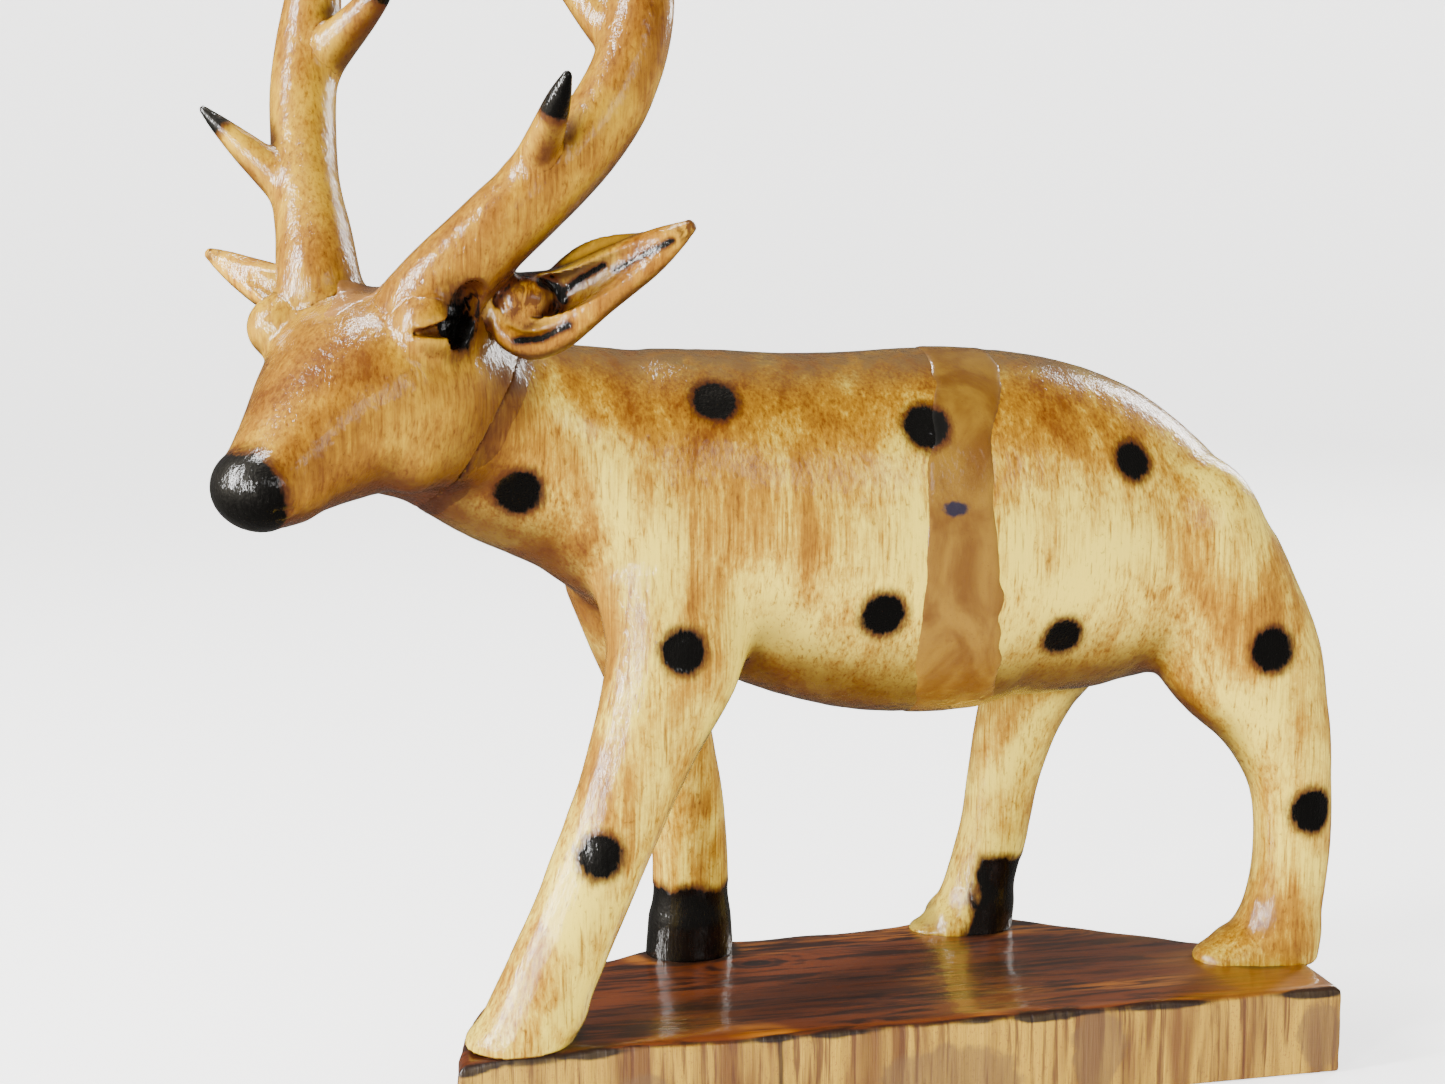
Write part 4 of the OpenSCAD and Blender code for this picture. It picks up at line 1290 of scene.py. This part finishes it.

# %% [markdown]
# ## Setting the pieces in place
# Every piece rides on the one body and hides its own part of the plain model, and takes its finish from the
# table below.

# %% Pieces
FINISHES = {
    "plinth": ("stained_plinth", plinth_finish), "body_front": ("body_wood", body_finish),
    "body_rear": ("body_wood", body_finish), "head": ("head_wood", head_finish),
    "ear_left": ("ear_wood", ear_finish), "ear_right": ("ear_wood", ear_finish),
    "flank_filler": ("putty", flank_finish), "neck_filler": ("putty", collar_finish),
    "brow_filler": ("putty", brow_finish),
}
READABLE = {"plinth": "log_plinth", "body_front": "front_body_block", "body_rear": "rear_body_block",
            "head": "stag_head", "flank_filler": "flank_putty", "neck_filler": "collar_putty",
            "brow_filler": "brow_putty"}


def place(name):
    m = made[name]
    mesh = bpy.data.meshes.new(name)
    mesh.from_pydata((m["points"] * MM).tolist(), [], m["quads"].tolist())
    mesh.shade_smooth()
    for key in ("hollow", "ridge", "burnt", "scorch"):
        values = mesh.attributes.new(key, "FLOAT", "POINT")
        values.data.foreach_set("value", np.asarray(m[key], np.float32))
    slot_name, finish = FINISHES.get(name, ("antler_wood", antler_finish))
    mesh.materials.append(finish)
    o = bpy.data.objects.new(READABLE.get(name, name + "_wood"), mesh)
    bpy.context.scene.collection.objects.link(o)
    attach(o, "root")
    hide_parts(name)
    return o


placed = {name: place(name) for name in made}
print("placed", len(placed), "pieces")

# %% [markdown]
# ## Floor, light and camera
# The statue stands on a pale floor that turns up into a pale wall far away on every side. The floor glows by
# itself, so it stays evenly pale under weak lamps, and it's kept out of the lacquer's reflections, which it
# would flood.

# %% Floor
import bmesh

# the floor's radius and height in metres, from the middle outwards
PROFILE = [(0.7, 0.0), (1.6, 0.0), (2.4, 0.03), (2.9, 0.16), (3.25, 0.45), (3.45, 0.95), (3.5, 1.7)]
SIDES, GLOW = 96, 1.9
sweep = bmesh.new()
rings = []
for radius, height in PROFILE:
    rings.append([sweep.verts.new((radius * math.cos(a), radius * math.sin(a), height))
                  for a in np.linspace(0, 2 * math.pi, SIDES + 1)[:-1]])
centre = sweep.verts.new((0, 0, 0))
for k in range(SIDES):
    sweep.faces.new((centre, rings[0][k], rings[0][(k + 1) % SIDES]))
    for inner, outer in zip(rings[:-1], rings[1:]):
        sweep.faces.new((inner[k], outer[k], outer[(k + 1) % SIDES], inner[(k + 1) % SIDES]))
floor_mesh = bpy.data.meshes.new("floor")
sweep.to_mesh(floor_mesh)
sweep.free()
floor_mesh.shade_smooth()
floor = bpy.data.objects.new("floor", floor_mesh)
bpy.context.scene.collection.objects.link(floor)
paper, surface = new_finish("pale floor")
soft = noise(1.5)
plug(surface, Base_Color=blend(soft, (0.80, 0.79, 0.785, 1), (0.84, 0.835, 0.83, 1)), Roughness=0.75)
surface.inputs["Emission Color"].default_value = (1.0, 0.995, 0.985, 1)
surface.inputs["Emission Strength"].default_value = GLOW
floor_mesh.materials.append(paper)
floor.visible_glossy = False
print("the floor reaches", PROFILE[-1][0], "m out, made of", len(floor_mesh.polygons), "faces")

# %% [markdown]
# The lamps are long and narrow, because a long lamp draws a long highlight on a round lacquered leg. The room
# itself gives only a little light, or it would lay a milky veil over the dark stain.

# %% Light
ROOM_LIGHT = 0.12
world = bpy.data.worlds.new("soft room")
bpy.context.scene.world = world
world.use_nodes = True
world.node_tree.nodes["Background"].inputs[0].default_value = (1.0, 0.97, 0.93, 1)
world.node_tree.nodes["Background"].inputs[1].default_value = ROOM_LIGHT


def soft_light(name, place, aim, width, height, power):
    data = bpy.data.lights.new(name, "AREA")
    data.shape = "RECTANGLE"
    data.size, data.size_y, data.energy = width, height, power
    o = bpy.data.objects.new(name, data)
    o.location = place
    o.rotation_euler = (Vector(aim) - Vector(place)).to_track_quat("-Z", "Y").to_euler()
    bpy.context.scene.collection.objects.link(o)


# each lamp: name, place, what it is aimed at, width, height, power
LAMPS = [
    ("window", (-1.35, -0.25, 0.75), (0, 0, 0.17), 0.2, 1.1, 50),
    ("overhead", (-0.35, 0.25, 1.6), (0, 0, 0.15), 0.7, 0.12, 20),
    ("front fill", (0.6, -1.9, 1.0), (0, 0, 0.15), 0.6, 0.6, 4),
    ("side strip", (-1.25, -1.05, 0.40), (-0.05, 0, 0.17), 0.08, 0.8, 20),
    ("rim", (1.3, 0.9, 0.9), (0, 0, 0.2), 0.2, 0.9, 20),
]
for lamp in LAMPS:
    soft_light(*lamp)
print("lit by", len(LAMPS), "soft lamps")

# %% [markdown]
# The camera stands a little over half a metre to the side of the head and slightly above it. It is turned
# towards the body and looks a little down.

# %% Camera
EYE_PLACE, LOOK_DOWN, LOOK_ASIDE, LENS = (-182.2, -586.6, 255.75), 8, 12.362, 49.83
camera_data = bpy.data.cameras.new("camera")
camera_data.sensor_width, camera_data.sensor_fit, camera_data.lens = 36.0, "HORIZONTAL", LENS
camera = bpy.data.objects.new("camera", camera_data)
bpy.context.scene.collection.objects.link(camera)
camera.location = Vector(EYE_PLACE) * MM
camera.rotation_euler = (math.radians(90 - LOOK_DOWN), 0, math.radians(-LOOK_ASIDE))
bpy.context.scene.camera = camera
print("camera", round(-EYE_PLACE[1]), "mm to the side, lens", LENS, "mm")
